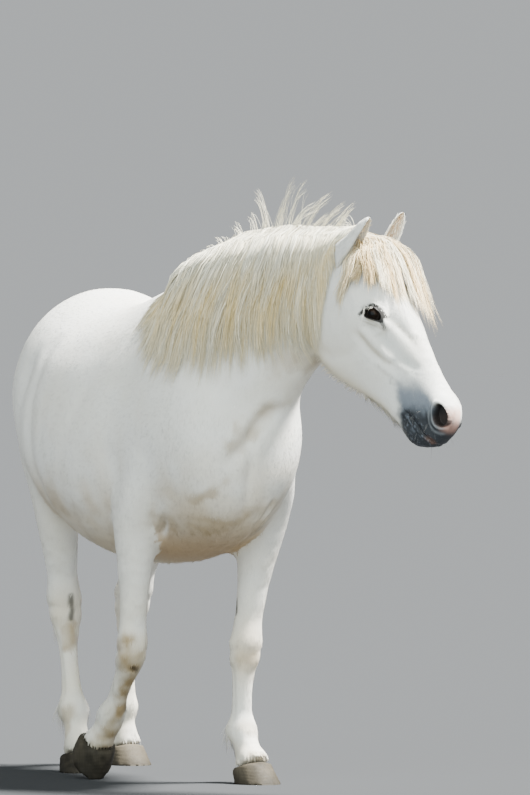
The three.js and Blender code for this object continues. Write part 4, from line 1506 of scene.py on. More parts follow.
@dataclass
class Strands:
    """Tapered strands with three sides: curves, half widths, facing, colours and roots on the unwrap."""

    curves: Array
    width: Array
    thick: Array
    facing: Array
    tint: Array
    softness: Array | float = 0.5

    def object(self, name: str, unwrap: Unwrap) -> Piece:
        """Makes the mesh object with its painted layer and its bake map.

        Args:
            name: The object's name.
            unwrap: Gives the roots their places on the map.
        Returns:
            The object.
        """
        count, stations, _ = self.curves.shape
        tangent = unit(np.gradient(self.curves, axis=1))
        facing = self.facing if self.facing.ndim == 3 else self.facing[:, None]
        facing = np.broadcast_to(facing, tangent.shape)
        side = unit(np.cross(tangent, facing))
        above = np.cross(side, tangent)
        wide, thick = side * self.width[..., None], above * self.thick[..., None]
        edges = [self.curves + wide * x + thick * y for x, y in ((-1, -0.5), (1, -0.5), (0, 1))]
        faces = self.pattern(stations - 1) + (np.arange(count) * (3 * stations - 2))[:, None, None]
        made = new_object(name, self.strung(edges, self.curves), faces.reshape(-1, 3))
        paint(made, TINT, self.strung([self.tint] * 3, self.tint))
        self.bake_map(made, unwrap, stations - 1, faces)
        smooth_shaded(made)
        soft = np.broadcast_to(self.softness, (count,))[:, None, None]
        sides = [mix(unit(side * x + above * y), facing, soft) for x, y in ((-1, -0.6), (1, -0.6), (0, 1))]
        normals = unit(self.strung(sides, facing)).astype(np.float32)
        made.data.normals_split_custom_set_from_vertices(normals)
        return made

    @staticmethod
    def strung(edges: Sequence[Array], tips: Array) -> Array:
        """Values along three edges, and one at the tip of every strand, in the order of the mesh's places."""
        rings = np.stack(edges, axis=2)[:, :-1]
        return np.concatenate([rings.reshape(len(rings), -1, 3), tips[:, -1:]], axis=1).reshape(-1, 3)

    @staticmethod
    def pattern(rings: int) -> Array:
        """The triangles of one strand."""
        faces = [(0, 2, 1)]
        for r in range(rings - 1):
            for i in range(3):
                j = (i + 1) % 3
                a, b, c, d = 3 * r + i, 3 * r + j, 3 * r + 3 + j, 3 * r + 3 + i
                faces += [(a, b, c), (a, c, d)]
        last = 3 * (rings - 1)
        faces += [(last + i, last + (i + 1) % 3, 3 * rings) for i in range(3)]
        return np.array(faces)[:, ::-1]

    def bake_map(self, made: Piece, unwrap: Unwrap, rings: int, faces: Array) -> None:
        """Gives every strand its small patch at its root's place on the unwrap."""
        root = unwrap.at(self.curves[:, 0])
        across = np.concatenate([np.tile([-0.5, 0.5, 0.0], rings), [0.0]])
        along = np.concatenate([np.repeat(np.arange(rings) / rings, 3), [1.0]]) - 0.5
        patch = np.stack([across, along], axis=1) * PATCH
        places = (root[:, None] + patch).reshape(-1, 2)
        layer = made.data.uv_layers.new(name=BAKE_MAP)
        layer.uv.foreach_set("vector", places[faces.ravel()].astype(np.float32).ravel())


@dataclass
class Ground:
    """The skin as hair needs it: places to grow from and the distance to it."""

    skin: Skin
    tree: BVHTree = field(init=False)
    tris: Array = field(init=False)
    points: Array = field(init=False)
    normals: Array = field(init=False)
    area: Array = field(init=False)
    middles: Array = field(init=False)
    owner: Array = field(init=False)

    def __post_init__(self) -> None:
        """Reads the mesh's triangles."""
        mesh = self.skin.piece.data
        mesh.calc_loop_triangles()
        self.tris = read(mesh.loop_triangles, "vertices", 3, np.int32)
        self.points = corners(self.skin.piece)
        self.normals = outward(self.skin.piece)
        self.tree = BVHTree.FromPolygons(self.points.tolist(), self.tris.tolist())
        a, b, c = (self.points[self.tris[:, k]] for k in range(3))
        self.area = np.linalg.norm(np.cross(b - a, c - a), axis=1) / 2
        self.middles = (a + b + c) / 3
        self.owner = self.skin.found[self.tris[:, 0]]

    def scatter(self, count: int, weight: Array, seed: int) -> Spots:
        """Chooses a number of roots.

        Args:
            count: How many.
            weight: How thickly each triangle is grown.
            seed: Fixes the choice.
        Returns:
            The roots.
        """
        rng = np.random.default_rng(seed)
        chance = self.area * weight
        chosen = rng.choice(len(self.tris), count, p=chance / chance.sum())
        r = rng.random((count, 2))
        r = np.where(r.sum(1, keepdims=True) > 1, 1 - r, r)
        shares = np.stack([1 - r.sum(1), r[:, 0], r[:, 1]], axis=1)
        where = self.tris[chosen]
        points = np.einsum("ij,ijk->ik", shares, self.points[where])
        normals = unit(np.einsum("ij,ijk->ik", shares, self.normals[where]))
        return Spots(points, normals, self.owner[chosen])

    def kept_off(self, curves: Array, clear: float = 0.004, reach: float = 0.05, first: int = 1) -> Array:
        """Pushes every place of the curves, but the first few, out of the skin.

        Args:
            curves: Curves by places by 3.
            clear: The least distance from the skin.
            reach: How far from the skin a place is looked at.
            first: How many places at the roots stay.
        Returns:
            The curves.
        """
        out = curves.copy()
        flat = out[:, first:].reshape(-1, 3)
        for i, p in enumerate(flat.tolist()):
            near, normal, _, _ = self.tree.find_nearest(p, reach)
            if near is None:
                continue
            depth = (Vector(p) - near).dot(normal)
            if depth < clear:
                flat[i] = np.array(Vector(p) + normal * (clear - depth))
        out[:, first:] = flat.reshape(out[:, first:].shape)
        return out


@dataclass
class ShortCoat:
    """Small flat tufts in pieces: head and ears, legs, and the front and rear of trunk and neck."""

    ground: Ground
    unwrap: Unwrap
    per_piece: int = 15000
    lift: float = 0.00032
    half_width: float = 0.00085
    flatness: float = 0.10

    def build(self) -> list[Piece]:
        """Grows every piece."""
        places, owner = self.ground.middles, self.ground.owner
        head = REGIONS.among(owner, *HEAD_PARTS, "ear")
        legs = REGIONS.among(owner, *LEG_PARTS) & (places[:, 2] < 0.86)
        body = ~head & ~legs
        behind = places[:, 1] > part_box("trunk")[0].y + 0.52
        parts = {
            "coat_head": head * self.head_weight(),
            "coat_legs": legs,
            "coat_front": body & ~behind,
            "coat_rear": body & behind,
        }
        return [self.grow(name, weight, seed) for seed, (name, weight) in enumerate(parts.items(), 11)]

    def head_weight(self) -> Array:
        """How thickly the head is grown: bare in eyes, nostrils and mouth, sparse on the muzzle."""
        places = self.ground.middles
        head = HEAD.local(places)
        along, front, _ = head.T
        bare = (np.hypot((along - NOSTRIL.along) / 32, (front - NOSTRIL.front) / 24) < 1) & (along > 500)
        bare |= (apart(head[:, :2], MOUTH.path) < 8) & (along > 480)
        for side in Side:
            local = EYE_OPENING.local(places, side)
            close = (np.hypot(local[:, 0], local[:, 1]) < 48) & (local[:, 2] > 0)
            bare |= (EYE_OPENING.almond(local) < 1.45) & close
        for name in EARS:
            bare |= np.linalg.norm(places - Ear(name).axis()[1], axis=1) <= 0.016
        return (1 - 0.45 * ease(470, 560, along)) * ~bare

    def grow(self, name: str, weight: Array, seed: int) -> Piece:
        """Grows one piece of tufts.

        Args:
            name: The piece's name.
            weight: How thickly each triangle of the skin is grown.
            seed: Fixes the roots and how the tufts vary.
        Returns:
            The piece.
        """
        spots = self.ground.scatter(self.per_piece, weight, seed)
        points, normals = spots.points, spots.normals
        count = len(points)
        rng = np.random.default_rng(seed + 100)
        lie = COAT.lie(spots)
        lie = unit(lie + np.cross(lie, normals) * rng.normal(0, 0.13, (count, 1)))
        long = COAT.length(spots) * rng.uniform(0.7, 1.25, count)
        fuzzy = np.clip((long - 0.018) / 0.02, 0, 1)
        rise = self.lift * rng.uniform(0.6, 1.5, count) + fuzzy * long * rng.uniform(0.1, 0.35, count)
        small = np.clip(long / 0.015, 0.35, 1.0)
        shares = np.array([0.0, 0.5, 1.0])
        lifted = np.stack([np.full(count, -0.0006), (0.6 * rise + 0.0002) * small, rise * small], axis=1)
        curves = points[:, None] + lie[:, None] * (shares * long[:, None])[..., None]
        curves = curves + normals[:, None] * lifted[..., None]
        curves[:, :, 2] -= (fuzzy * long * 0.35)[:, None] * shares**2
        half = (self.half_width * small * rng.uniform(0.75, 1.3, count))[:, None] * np.array([0.75, 1.0, 0.1])
        muzzle = ease(455, 500, HEAD.local(points)[:, 0]) * spots.among(*HEAD_PARTS)
        tint = blend(COAT.colour(spots), COAT.white, 0.22 * muzzle * (rng.random(count) < 0.10))
        tint = tint * rng.uniform(0.94, 1.05, (count, 1))
        tints = np.stack([tint * 0.96, tint, np.clip(tint * 1.03, 0, 0.95)], axis=1)
        soft = 0.95 - 0.77 * fuzzy
        return Strands(curves, half, half * self.flatness, normals, tints, soft).object(name, self.unwrap)


# ---------------------------------------------------------------- mane, forelock and tail
def rows_at(x: Array, stops: Array, rows: Array) -> Array:
    """Rows of numbers read between the stops at which they are given."""
    return np.stack([np.interp(x, stops, column) for column in rows.T], axis=-1)


@dataclass
class Crest:
    """The line along the top of neck and withers, from the withers (0) to the poll (1)."""

    ground: Ground
    stations: int = 40
    points: Array = field(init=False)
    across: Array = field(init=False)
    length: float = field(init=False)

    def __post_init__(self) -> None:
        """Finds the highest place of the skin on each level slice across the neck."""
        skin = self.ground.points[~REGIONS.among(self.ground.skin.found, "ear")]
        poll = HEAD.world(POLL)
        line = []
        for y in np.arange(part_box("neck")[1].y + 0.12, poll[1] + 0.02, -0.016):
            near = skin[np.abs(skin[:, 1] - y) < 0.009]
            near = near[near[:, 2] > near[:, 2].max() - 0.004]
            line.append(near.mean(axis=0))
        line = np.array([*line, poll])
        steps = np.concatenate([[0], np.cumsum(np.linalg.norm(np.diff(line, axis=0), axis=1))])
        even = np.linspace(0, steps[-1], self.stations)
        self.points = rows_at(even, steps, line)
        for _ in range(12):
            self.points[1:-1] = 0.5 * self.points[1:-1] + 0.25 * (self.points[:-2] + self.points[2:])
        along = np.gradient(self.points, axis=0)
        along[:, 2] = 0
        self.across = unit(np.cross(unit(along), UP))
        self.length = float(steps[-1])

    def at(self, u: Array) -> tuple[Array, Array]:
        """Places on the crest and the level direction to the pony's right, for shares 0 to 1."""
        shares = np.linspace(0, 1, self.stations)
        return rows_at(u, shares, self.points), unit(rows_at(u, shares, self.across))


@dataclass
class Drape:
    """The room between the neck's skin and the outer face of the frame's mane, on the right side."""

    crest: Crest
    ground: Ground
    columns: int = 48
    rows: int = 30
    deepest: float = 0.38
    inner: Array = field(init=False)
    outer: Array = field(init=False)
    hang: Array = field(init=False)
    lift: Array = field(init=False)
    drops: Array = field(init=False)

    def __post_init__(self) -> None:
        """Casts level rays from the right at every column and row."""
        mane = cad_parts["mane"].data
        shell = BVHTree.FromPolygons([v.co for v in mane.vertices], [p.vertices for p in mane.polygons])
        crest, right = self.crest.at(np.linspace(0, 1, self.columns))
        self.drops = np.linspace(0, self.deepest, self.rows)
        inner = np.full((self.columns, self.rows), np.nan)
        outer = np.full((self.columns, self.rows), np.nan)
        lift = np.zeros(self.columns)
        for i in range(self.columns):
            top = shell.ray_cast(Vector(crest[i] + 0.5 * UP), Vector(-UP))[0]
            lift[i] = min(max(top.z - crest[i][2], 0.02), 0.065) if top else 0.02
            for j, drop in enumerate(self.drops):
                start = Vector(crest[i] + right[i] * 0.6 - UP * drop)
                for tree, store in ((self.ground.tree, inner), (shell, outer)):
                    hit = tree.ray_cast(start, Vector(-right[i]), 0.65)
                    if hit[0] is not None:
                        store[i, j] = 0.6 - hit[3]
        self.inner = self.even(np.nan_to_num(inner))
        reached = ~np.isnan(outer)
        full = np.where(reached, outer, self.inner + 0.016)
        self.outer = np.maximum(self.even(full), self.inner + 0.008)
        hang = np.array([self.drops[row].max() if row.any() else 0.05 for row in reached])
        box = np.ones(5) / 5
        self.hang, self.lift = (np.convolve(np.pad(v, 2, "edge"), box, "valid") for v in (hang, lift))

    @staticmethod
    def even(grid: Array) -> Array:
        """Evens out a grid."""
        for _ in range(3):
            padded = np.pad(grid, 1, mode="edge")
            sides = padded[:-2, 1:-1] + padded[2:, 1:-1] + padded[1:-1, :-2] + padded[1:-1, 2:]
            grid = (grid * 2 + sides) / 6
        return grid

    def column(self, values: Array, u: Array) -> Array:
        """A number per column, read at shares of the crest."""
        return np.interp(u, np.linspace(0, 1, self.columns), values)

    def out(self, u: Array, drop: Array, depth: Array) -> Array:
        """Distance from the crest's upright plane at a drop, from the skin (0) to the outside (1)."""
        x = np.clip(u, 0, 1) * (self.columns - 1)
        y = np.clip(drop / self.deepest, 0, 1) * (self.rows - 1)
        i, j = np.minimum(x.astype(int), self.columns - 2), np.minimum(y.astype(int), self.rows - 2)
        s, t = x - i, y - j
        low, high = (
            mix(mix(g[i, j], g[i + 1, j], s), mix(g[i, j + 1], g[i + 1, j + 1], s), t)
            for g in (self.inner, self.outer)
        )
        return mix(low, high, depth)

    def place(self, u: Array, drop: Array, depth: Array) -> Array:
        """A place in the drape, which goes on behind the withers for shares below 0."""
        crest, right = self.crest.at(np.clip(u, 0, 1))
        crest = crest + np.array([0.0, 1.0, -0.1]) * self.crest.length * np.maximum(-u, 0)[..., None]
        out = self.out(u, np.maximum(drop, 0), depth)
        return crest + right * out[..., None] - UP * drop[..., None]


# The wisps of the mane: root and tip by their distance back from the poll, the tip's height, in metres.
WISPS = (
    (0.322, 0.378, 0.150), (0.286, 0.236, 0.168), (0.258, 0.192, 0.160), (0.224, 0.110, 0.122),
    (0.182, 0.058, 0.092), (0.104, 0.028, 0.084), (0.42, 0.47, 0.085), (0.50, 0.56, 0.07),
    (0.36, 0.40, 0.10), (0.14, 0.05, 0.07), (0.58, 0.62, 0.05), (0.300, 0.262, 0.120),
    (0.270, 0.150, 0.105), (0.200, 0.120, 0.080), (0.34, 0.33, 0.09), (0.24, 0.21, 0.075),
)
# The locks of the forelock: middle and tip of each in the head's own directions, in millimetres.
FORELOCKS = (
    (62, 0, -86, 150, -92, -104), (66, 14, -88, 130, -58, -108), (70, 28, -86, 126, -16, -106),
    (74, 42, -80, 150, 12, -96), (77, 50, -76, 158, 24, -90), (78, 54, -70, 168, 38, -80),
    (79, 60, -64, 184, 44, -74), (80, 68, -54, 198, 46, -66), (82, 74, -40, 218, 48, -54),
    (84, 80, -20, 232, 58, -26), (86, 86, 2, 246, 66, 0), (88, 90, 24, 264, 70, 22),
    (90, 90, 42, 276, 62, 42), (92, 88, 60, 276, 60, 60), (92, 84, 76, 268, 60, 76),
    (90, 78, 84, 240, 68, 86), (80, 66, 92, 212, 62, 94), (58, 42, 94, 170, 32, 104),
)


@dataclass
class Mane:
    """Locks that rise from the crest, arch over it and fall down the pony's right side."""

    drape: Drape
    unwrap: Unwrap
    locks: int = 270
    strands: int = 10500
    pieces: int = 3
    stations: int = 10
    half_width: float = 0.00088
    per_wisp: int = 12
    strays: int = 150
    shade: Triple = (0.90, 0.80, 0.54)
    pale: Triple = (0.95, 0.93, 0.80)
    dusky: Triple = (0.84, 0.62, 0.24)

    def build(self) -> list[Piece]:
        """Grows the mane in a few pieces and the standing wisps."""
        rng = np.random.default_rng(31)
        made = []
        for part in range(self.pieces):
            curves, which = self.falling(rng, self.strands // self.pieces)
            made.append(self.strand_object(f"mane_{part + 1}", curves, which, rng))
        wisps = self.standing(rng)
        made.append(self.strand_object("mane_wisps", wisps, np.zeros(len(wisps), int), rng))
        return made

    def falling(self, rng: np.random.Generator, count: int) -> tuple[Array, Array]:
        """Grows the hair that falls down the neck.

        Args:
            rng: Scatters the strands.
            count: How many.
        Returns:
            Curves, and the lock that each belongs to.
        """
        lock_rng = np.random.default_rng(5)
        base = (np.arange(self.locks) + lock_rng.uniform(0.1, 0.9, self.locks)) / self.locks
        base = 0.07 + 0.93 * base
        depth = lock_rng.uniform(0.25, 1.0, self.locks)
        drift = lock_rng.normal(0.0, 0.014, self.locks) - 0.05 * (1 - base) ** 2 - 0.02 * (1 - base)
        short = lock_rng.uniform(0.80, 1.18, self.locks)
        phase = lock_rng.uniform(0, 2 * math.pi, self.locks)
        size = lock_rng.uniform(0.002, 0.006, self.locks)
        cycles = lock_rng.uniform(0.6, 1.5, self.locks)
        which = rng.integers(0, self.locks, count)
        loose = rng.random(count) < 0.45
        spread_root = rng.normal(0, 0.011, count)
        spread_tip = np.where(loose, rng.normal(0, 0.018, count), rng.normal(0, 0.0045, count))
        u0 = base[which] + spread_root
        hang = self.drape.column(self.drape.hang, u0) * short[which] * rng.uniform(0.64, 1.06, count)
        lift = self.drape.column(self.drape.lift, u0) + 0.022 * ease(0.25, 0.5, u0)
        lift = lift * rng.uniform(0.4, 1.0, count)
        own = np.clip(depth[which] + rng.normal(0, 0.16, count), 0.02, 1.0)
        share = np.linspace(0, 1, 11)[1:]
        fall = share[None] ** 1.15 * hang[:, None]
        u = base[which, None] + mix(spread_root[:, None], spread_tip[:, None], share)
        u = u + drift[which, None] * share**1.4
        swing = np.sin(phase[which, None] + cycles[which, None] * 2 * math.pi * share) * size[which, None]
        swing = swing + 0.0018 * np.sin(rng.uniform(0, 6.28, (count, 1)) + 9 * share)
        u = u + swing / self.drape.crest.length * ease(0.0, 0.4, share)
        layer = own[:, None] * (0.8 + 0.2 * np.cos(phase[which, None] * 1.7 + 7 * share))
        layer = np.clip(layer, 0.03, 1)
        hung = self.drape.place(u, fall, layer)
        hung[..., 2] += lift[:, None] * 0.55 * (1 - share) ** 3
        crest, right = self.drape.crest.at(u0)
        start = crest + right * rng.uniform(-0.014, 0.012, (count, 1)) - UP * 0.006
        rise = crest + right * rng.uniform(-0.016, 0.008, (count, 1)) + UP * (lift * 0.62)[:, None]
        over = crest + right * rng.uniform(0.004, 0.022, (count, 1)) + UP * (lift * 0.98)[:, None]
        stops = np.concatenate([start[:, None], rise[:, None], over[:, None], hung], axis=1)
        curves = spline(stops, self.stations)
        return self.drape.ground.kept_off(curves, 0.005, 0.06, 2), which

    def standing(self, rng: np.random.Generator) -> Array:
        """Curves of the wisps that stand up from the crest, and of single stray hairs."""
        length = self.drape.crest.length
        found = []
        for root, tip, high in WISPS:
            u_root = 1 - (root + rng.normal(0, 0.012, self.per_wisp)) / length
            u_tip = 1 - (tip + rng.normal(0, 0.0045, self.per_wisp)) / length
            u = u_root[:, None] + (u_tip - u_root)[:, None] * np.array([0, 0.25, 0.6, 1.0])
            tall = 1.17 * high * rng.uniform(0.80, 1.04, (self.per_wisp, 1))
            lean = rng.normal(0, 0.006, (self.per_wisp, 1)) * np.array([1.4, 1.0, 0.7, 0.9])
            found.append(self.risen(u, lean, tall * np.array([-0.04, 0.46, 0.84, 1.0])))
        many = (self.strays, 1)
        steps = np.array([0, 0.3, 0.7, 1.0])
        u = rng.uniform(0.22, 0.99, many) + rng.normal(0, 0.02, many) * steps - 0.03 * steps
        lean = rng.uniform(-0.01, 0.03, many) * np.array([0.2, 0.6, 1.0, 1.5])
        found.append(self.risen(u, lean, rng.uniform(0.03, 0.062, many) * np.array([-0.1, 0.62, 1.0, 0.95])))
        return np.concatenate(found)

    def risen(self, u: Array, lean: Array, height: Array) -> Array:
        """Curves through four stops each, given along the crest, to the right of it and above it."""
        crest, right = self.drape.crest.at(u)
        return spline(crest + right * lean[..., None] + UP * height[..., None], self.stations)

    def strand_object(self, name: str, curves: Array, which: Array, rng: np.random.Generator) -> Piece:
        """Makes one piece from its curves.

        Args:
            name: The piece's name.
            curves: Curves by places by 3.
            which: The lock of each curve.
            rng: Gives the strands their variety.
        Returns:
            The piece.
        """
        count = len(curves)
        standing = name.endswith("wisps")
        share = np.linspace(0, 1, self.stations)
        taper = np.interp(share, (0, 0.1, 0.7, 1), (0.7, 1, 0.85, 0.25))
        width = self.half_width * rng.uniform(0.7, 1.35, (count, 1)) * taper * (0.62 if standing else 1.0)
        tone = np.random.default_rng(8).uniform(0, 1, self.locks)[which]
        light = blend(self.pale, self.shade, np.clip(tone * 0.6 + rng.normal(0, 0.2, count), 0, 1))
        low = ease(0.25, 0.65, share) * (1 - 0.6 * ease(0.75, 1.0, share)) * (0.09 if standing else 0.9)
        tint = blend(light[:, None], self.dusky, low * np.clip(0.3 + 0.7 * tone, 0, 1)[:, None])
        tint = np.clip(tint * rng.uniform(0.82, 1.04, (count, 1, 1)), 0, 0.95)
        _, right = self.drape.crest.at(np.full(count, 0.5))
        facing = mix(UP, right[:, None], ease(0.1, 0.4, share)[None, :, None])
        facing = unit(facing + rng.normal(0, 0.16, (count, 1, 3)))
        soft = 0.1 if standing else 0.66
        return Strands(curves, width, width * 0.5, facing, tint, soft).object(name, self.unwrap)


@dataclass
class Forelock:
    """Locks that fan from the poll over the brow."""

    unwrap: Unwrap
    ground: Ground
    per_lock: int = 190
    stations: int = 10
    half_width: float = 0.00084
    pale: Triple = (0.95, 0.89, 0.70)
    dusky: Triple = (0.85, 0.63, 0.32)

    def build(self) -> Piece:
        """Grows the forelock."""
        rng = np.random.default_rng(51)
        grown = [self.lock(np.array(place[:3]), np.array(place[3:]), rng) for place in FORELOCKS]
        curves, tints = (np.concatenate(column) for column in zip(*grown))
        count = len(curves)
        share = np.linspace(0, 1, self.stations)
        tint = tints[:, None] * rng.uniform(0.86, 1.05, (count, 1, 1)) * (1 - 0.06 * share)[None, :, None]
        taper = np.interp(share, (0, 0.15, 0.7, 1), (0.7, 1, 0.8, 0.25))
        width = self.half_width * rng.uniform(0.7, 1.3, (count, 1)) * taper
        around = np.repeat([place[2] / 80 for place in FORELOCKS], self.per_lock)[:, None]
        facing = HEAD.axes[1] + HEAD.axes[2] * around + 0.35 * UP
        facing = unit(facing + rng.normal(0, 0.16, (count, 3)))
        return Strands(curves, width, width * 0.5, facing, tint, 0.55).object("forelock_hair", self.unwrap)

    def lock(self, middle: Array, tip: Array, rng: np.random.Generator) -> tuple[Array, Array]:
        """Grows one lock.

        Args:
            middle: Where it passes over the brow, in the head's own directions.
            tip: Where it ends.
            rng: Scatters its strands.
        Returns:
            The strands' curves and colours.
        """
        many = self.per_lock

        def around(centre: Any, size: Sequence[float]) -> Array:
            """Places scattered round one."""
            return np.array(centre) + rng.normal(0, 1, (many, 3)) * size

        root = around([POLL[0], POLL[1], middle[2] * 0.32], [8, 3, 9])
        rise = around(middle * [0.5, 0.55, 0.5] + [0, 22, 0], [5, 6, 10])
        middles = around(middle, [6, 5, 10])
        tips = around(tip, [10, 4, 8])
        reach = rng.uniform(0.55, 1.05, (many, 1)) + 0.3 * (rng.random((many, 1)) < 0.05)
        tips = middles + (tips - middles) * reach
        stops = np.stack([root, rise, middles, (middles + tips) / 2 + [0, 5, 0], tips], axis=1)
        stops[:, :, 2] += np.sin(np.linspace(0, 2.2, 5) * math.pi + rng.uniform(0, 6.28)) * 5
        curves = self.ground.kept_off(spline(HEAD.world(stops), self.stations))
        tone = rng.uniform(0, 1)
        return curves, blend(self.pale, self.dusky, np.clip(tone + rng.normal(0, 0.25, many), 0, 1))


@dataclass
class Tail:
    """Long hair from the dock down, inside the frame's tail."""

    unwrap: Unwrap
    strands: int = 2000
    stations: int = 13
    half_width: float = 0.0014
    tint: Triple = (0.86, 0.80, 0.64)

    def levels(self) -> tuple[Array, Array]:
        """Middles and half spans of the frame's tail on nine levels from the top down."""
        points = node_points("tail")
        middles, halves = [], []
        for level in np.linspace(points[:, 2].max() - 0.02, points[:, 2].min() + 0.02, 9):
            near = points[np.abs(points[:, 2] - level) < 0.1]
            low, high = near.min(0), near.max(0)
            middles.append([*((high + low) / 2)[:2], level])
            halves.append([*((high - low) / 2)[:2], 0])
        return np.array(middles), np.array(halves)

    def build(self) -> Piece:
        """Grows the tail."""
        rng = np.random.default_rng(61)
        middles, halves = self.levels()
        count = self.strands
        angle = rng.uniform(0, 2 * math.pi, count)
        lock = np.round(angle / 0.35) * 0.35
        radius = np.sqrt(rng.uniform(0.05, 0.9, count))[:, None]
        disc, tied = (radius * np.stack([np.cos(a), np.sin(a), 0 * a], axis=1) for a in (angle, lock))
        start = rng.uniform(0, 0.28, count)[:, None]
        end = rng.uniform(0.72, 1.0, count)[:, None]
        share = np.linspace(0, 1, self.stations)
        level = mix(start, end, share) * (len(middles) - 1)
        i = np.minimum(level.astype(int), len(middles) - 2)
        t = (level - i)[..., None]
        gather = 0.6 * ease(0, 0.6, share)[None, :, None]
        inside = np.interp(share, (0, 0.12, 1), (0.45, 0.9, 0.86))[None, :, None]
        half = mix(halves[i], halves[i + 1], t)
        centre = mix(middles[i], middles[i + 1], t)
        curves = centre + half * mix(disc[:, None], tied[:, None], gather) * inside
        wave = 0.008 * np.sin(lock[:, None] * 3 + 9 * share)
        wave = wave + 0.003 * np.sin(rng.uniform(0, 6, (count, 1)) + 14 * share)
        curves[..., 0] += wave * ease(0.1, 0.5, share)
        tint = np.array(self.tint) * rng.uniform(0.84, 1.08, (count, 1, 1)) * (1 - 0.2 * share)[None, :, None]
        taper = np.interp(share, (0, 0.1, 0.7, 1), (0.6, 1, 0.85, 0.25))
        width = self.half_width * rng.uniform(0.7, 1.3, (count, 1)) * taper
        facing = unit(disc)
        return Strands(curves, width, width * 0.5, facing, tint).object("tail_hair", self.unwrap)


@dataclass
class Whiskers:
    """Single stiff hairs on lips and chin, and lashes on the upper lids."""

    ground: Ground
    unwrap: Unwrap
    stations: int = 6
    pale: Triple = (0.84, 0.82, 0.74)
    dark: Triple = (0.20, 0.20, 0.20)

    def build(self) -> Piece:
        """Grows whiskers and lashes."""
        rng = np.random.default_rng(71)
        whiskers = self.whiskers(rng)
        hairs = whiskers + [hair for side in Side for hair in self.lashes(side, rng)]
        places, aims, lengths = (np.array(column) for column in zip(*hairs))
        stiff = np.arange(len(hairs)) < len(whiskers)
        share = np.linspace(0, 1, self.stations)
        curves = places[:, None] + aims[:, None] * (lengths[:, None] * share)[..., None]
        curves[..., 2] -= lengths[:, None] * 0.25 * share**2
        width = np.where(stiff, 0.00026, 0.00032)[:, None] * np.interp(share, (0, 1), (1, 0.2))
        tint = np.repeat(blend(self.pale, self.dark, stiff)[:, None], self.stations, axis=1)
        outer = np.sign(HEAD.local(places)[:, 2:]) * HEAD.axes[2]
        facing = unit(outer - aims * np.sum(outer * aims, axis=1, keepdims=True) + 1e-4)
        return Strands(curves, width, width, facing, tint).object("whiskers_and_lashes", self.unwrap)

    def whiskers(self, rng: np.random.Generator) -> list[tuple[Array, Array, float]]:
        """Root, direction and length of every whisker."""
        down, front, left = HEAD.axes
        found = []
        for _ in range(46):
            side = rng.choice([-1, 1])
            start = HEAD.world([rng.uniform(500, 612), rng.uniform(-118, 20), side * 90])
            root, normal, _, _ = self.ground.tree.ray_cast(Vector(start), Vector(-left * side), 0.12)
            if root is None or NOSTRIL.ring(HEAD.local(np.array([root])))[0] < 1.35:
                continue
            aim = unit(np.array(normal) + down * 0.7 - front * 0.15 + rng.normal(0, 0.2, 3))
            found.append((np.array(root), aim, rng.uniform(0.014, 0.034)))
        return found

    @staticmethod
    def lashes(side: Side, rng: np.random.Generator) -> list[tuple[Array, Array, float]]:
        """Grows one eye's lashes, short along the lid and long above it.

        Args:
            side: Which eye.
            rng: Scatters them.
        Returns:
            Root, direction and length of each.
        """
        lid = EYE_OPENING
        eye = node_middle(side.eye)
        long, up, out = lid.axes(side)
        found = []
        for a in np.linspace(-25, -3, 15):
            b = lid.upper * math.sqrt(max(1 - abs((a + lid.back) / 27) ** 1.7, 0)) - 0.004 * a * a
            cap = math.sqrt((lid.ball + lid.lid) ** 2 - min(a * a + b * b, 21.0**2))
            root = eye + (long * a + up * (b + 1.0) + out * (cap + 0.6)) * MM
            aim = unit(out * 0.75 - up * 0.9 + long * (0.02 * a) + rng.normal(0, 0.12, 3))
            found.append((root, aim, rng.uniform(0.005, 0.010)))
        for a in rng.normal(-22, 2.5, 7):
            root = eye + (long * a + up * rng.uniform(4, 16) + out * 23.0) * MM
            aim = unit(out * 0.4 - up + HEAD.axes[0] * 0.4 + rng.normal(0, 0.12, 3))
            found.append((root, aim, rng.uniform(0.020, 0.040)))
        return found


# ---------------------------------------------------------------- eyes and hooves
@dataclass
class Eye:
    """An eyeball with a bulging cornea, a dark iris and a level pupil."""

    side: Side
    rings: int = 72
    around: int = 96
    iris: float = 17.5
    pupil_long: float = 9.5
    pupil_high: float = 4.5
    ball_tint: Triple = (0.02, 0.015, 0.013)
    iris_tint: Triple = (0.010, 0.006, 0.004)
    pupil_tint: Triple = (0.003, 0.003, 0.004)

    def build(self) -> Piece:
        """Makes and paints the eyeball."""
        name = self.side.eye
        low, high = (np.array(v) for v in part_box(name))
        radius = float((high - low).max() / 2)
        bpy.ops.object.select_all(action="DESELECT")
        bpy.ops.mesh.primitive_uv_sphere_add(segments=self.around, ring_count=self.rings, radius=radius)
        piece = bpy.context.active_object
        piece.name = name + "_ball"
        points = corners(piece)
        down, front, _ = HEAD.axes
        out = EYE_OPENING.out(self.side)
        lean = front * 0.77 - down * 0.64
        up = unit(lean - out * (lean @ out))
        local = points / MM
        rho = np.hypot(local[:, 0], local[:, 1])
        ahead = local[:, 2] > 0
        points = points @ np.array([np.cross(up, out), up, out])
        points += out * (0.0008 * ease(17.5, 9, rho) * ahead)[:, None]
        place(piece, points + (low + high) / 2)
        around = np.stack([np.arctan2(local[:, 1], local[:, 0]) * 9, rho / 9, 0 * rho], axis=1)
        fibres = np.clip(0.75 + 0.5 * cloudy(around, 1, 3), 0.4, 1.3)
        pupil = np.hypot(local[:, 0] / self.pupil_long, local[:, 1] / self.pupil_high)
        tint = layered(
            self.ball_tint,
            (np.array(self.iris_tint) * fibres[:, None], ease(self.iris + 1.2, self.iris, rho) * ahead),
            (self.pupil_tint, ease(1.12, 0.95, pupil) * ahead),
        )
        paint(piece, TINT, tint)
        smooth_shaded(piece)
        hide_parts(name)
        return piece


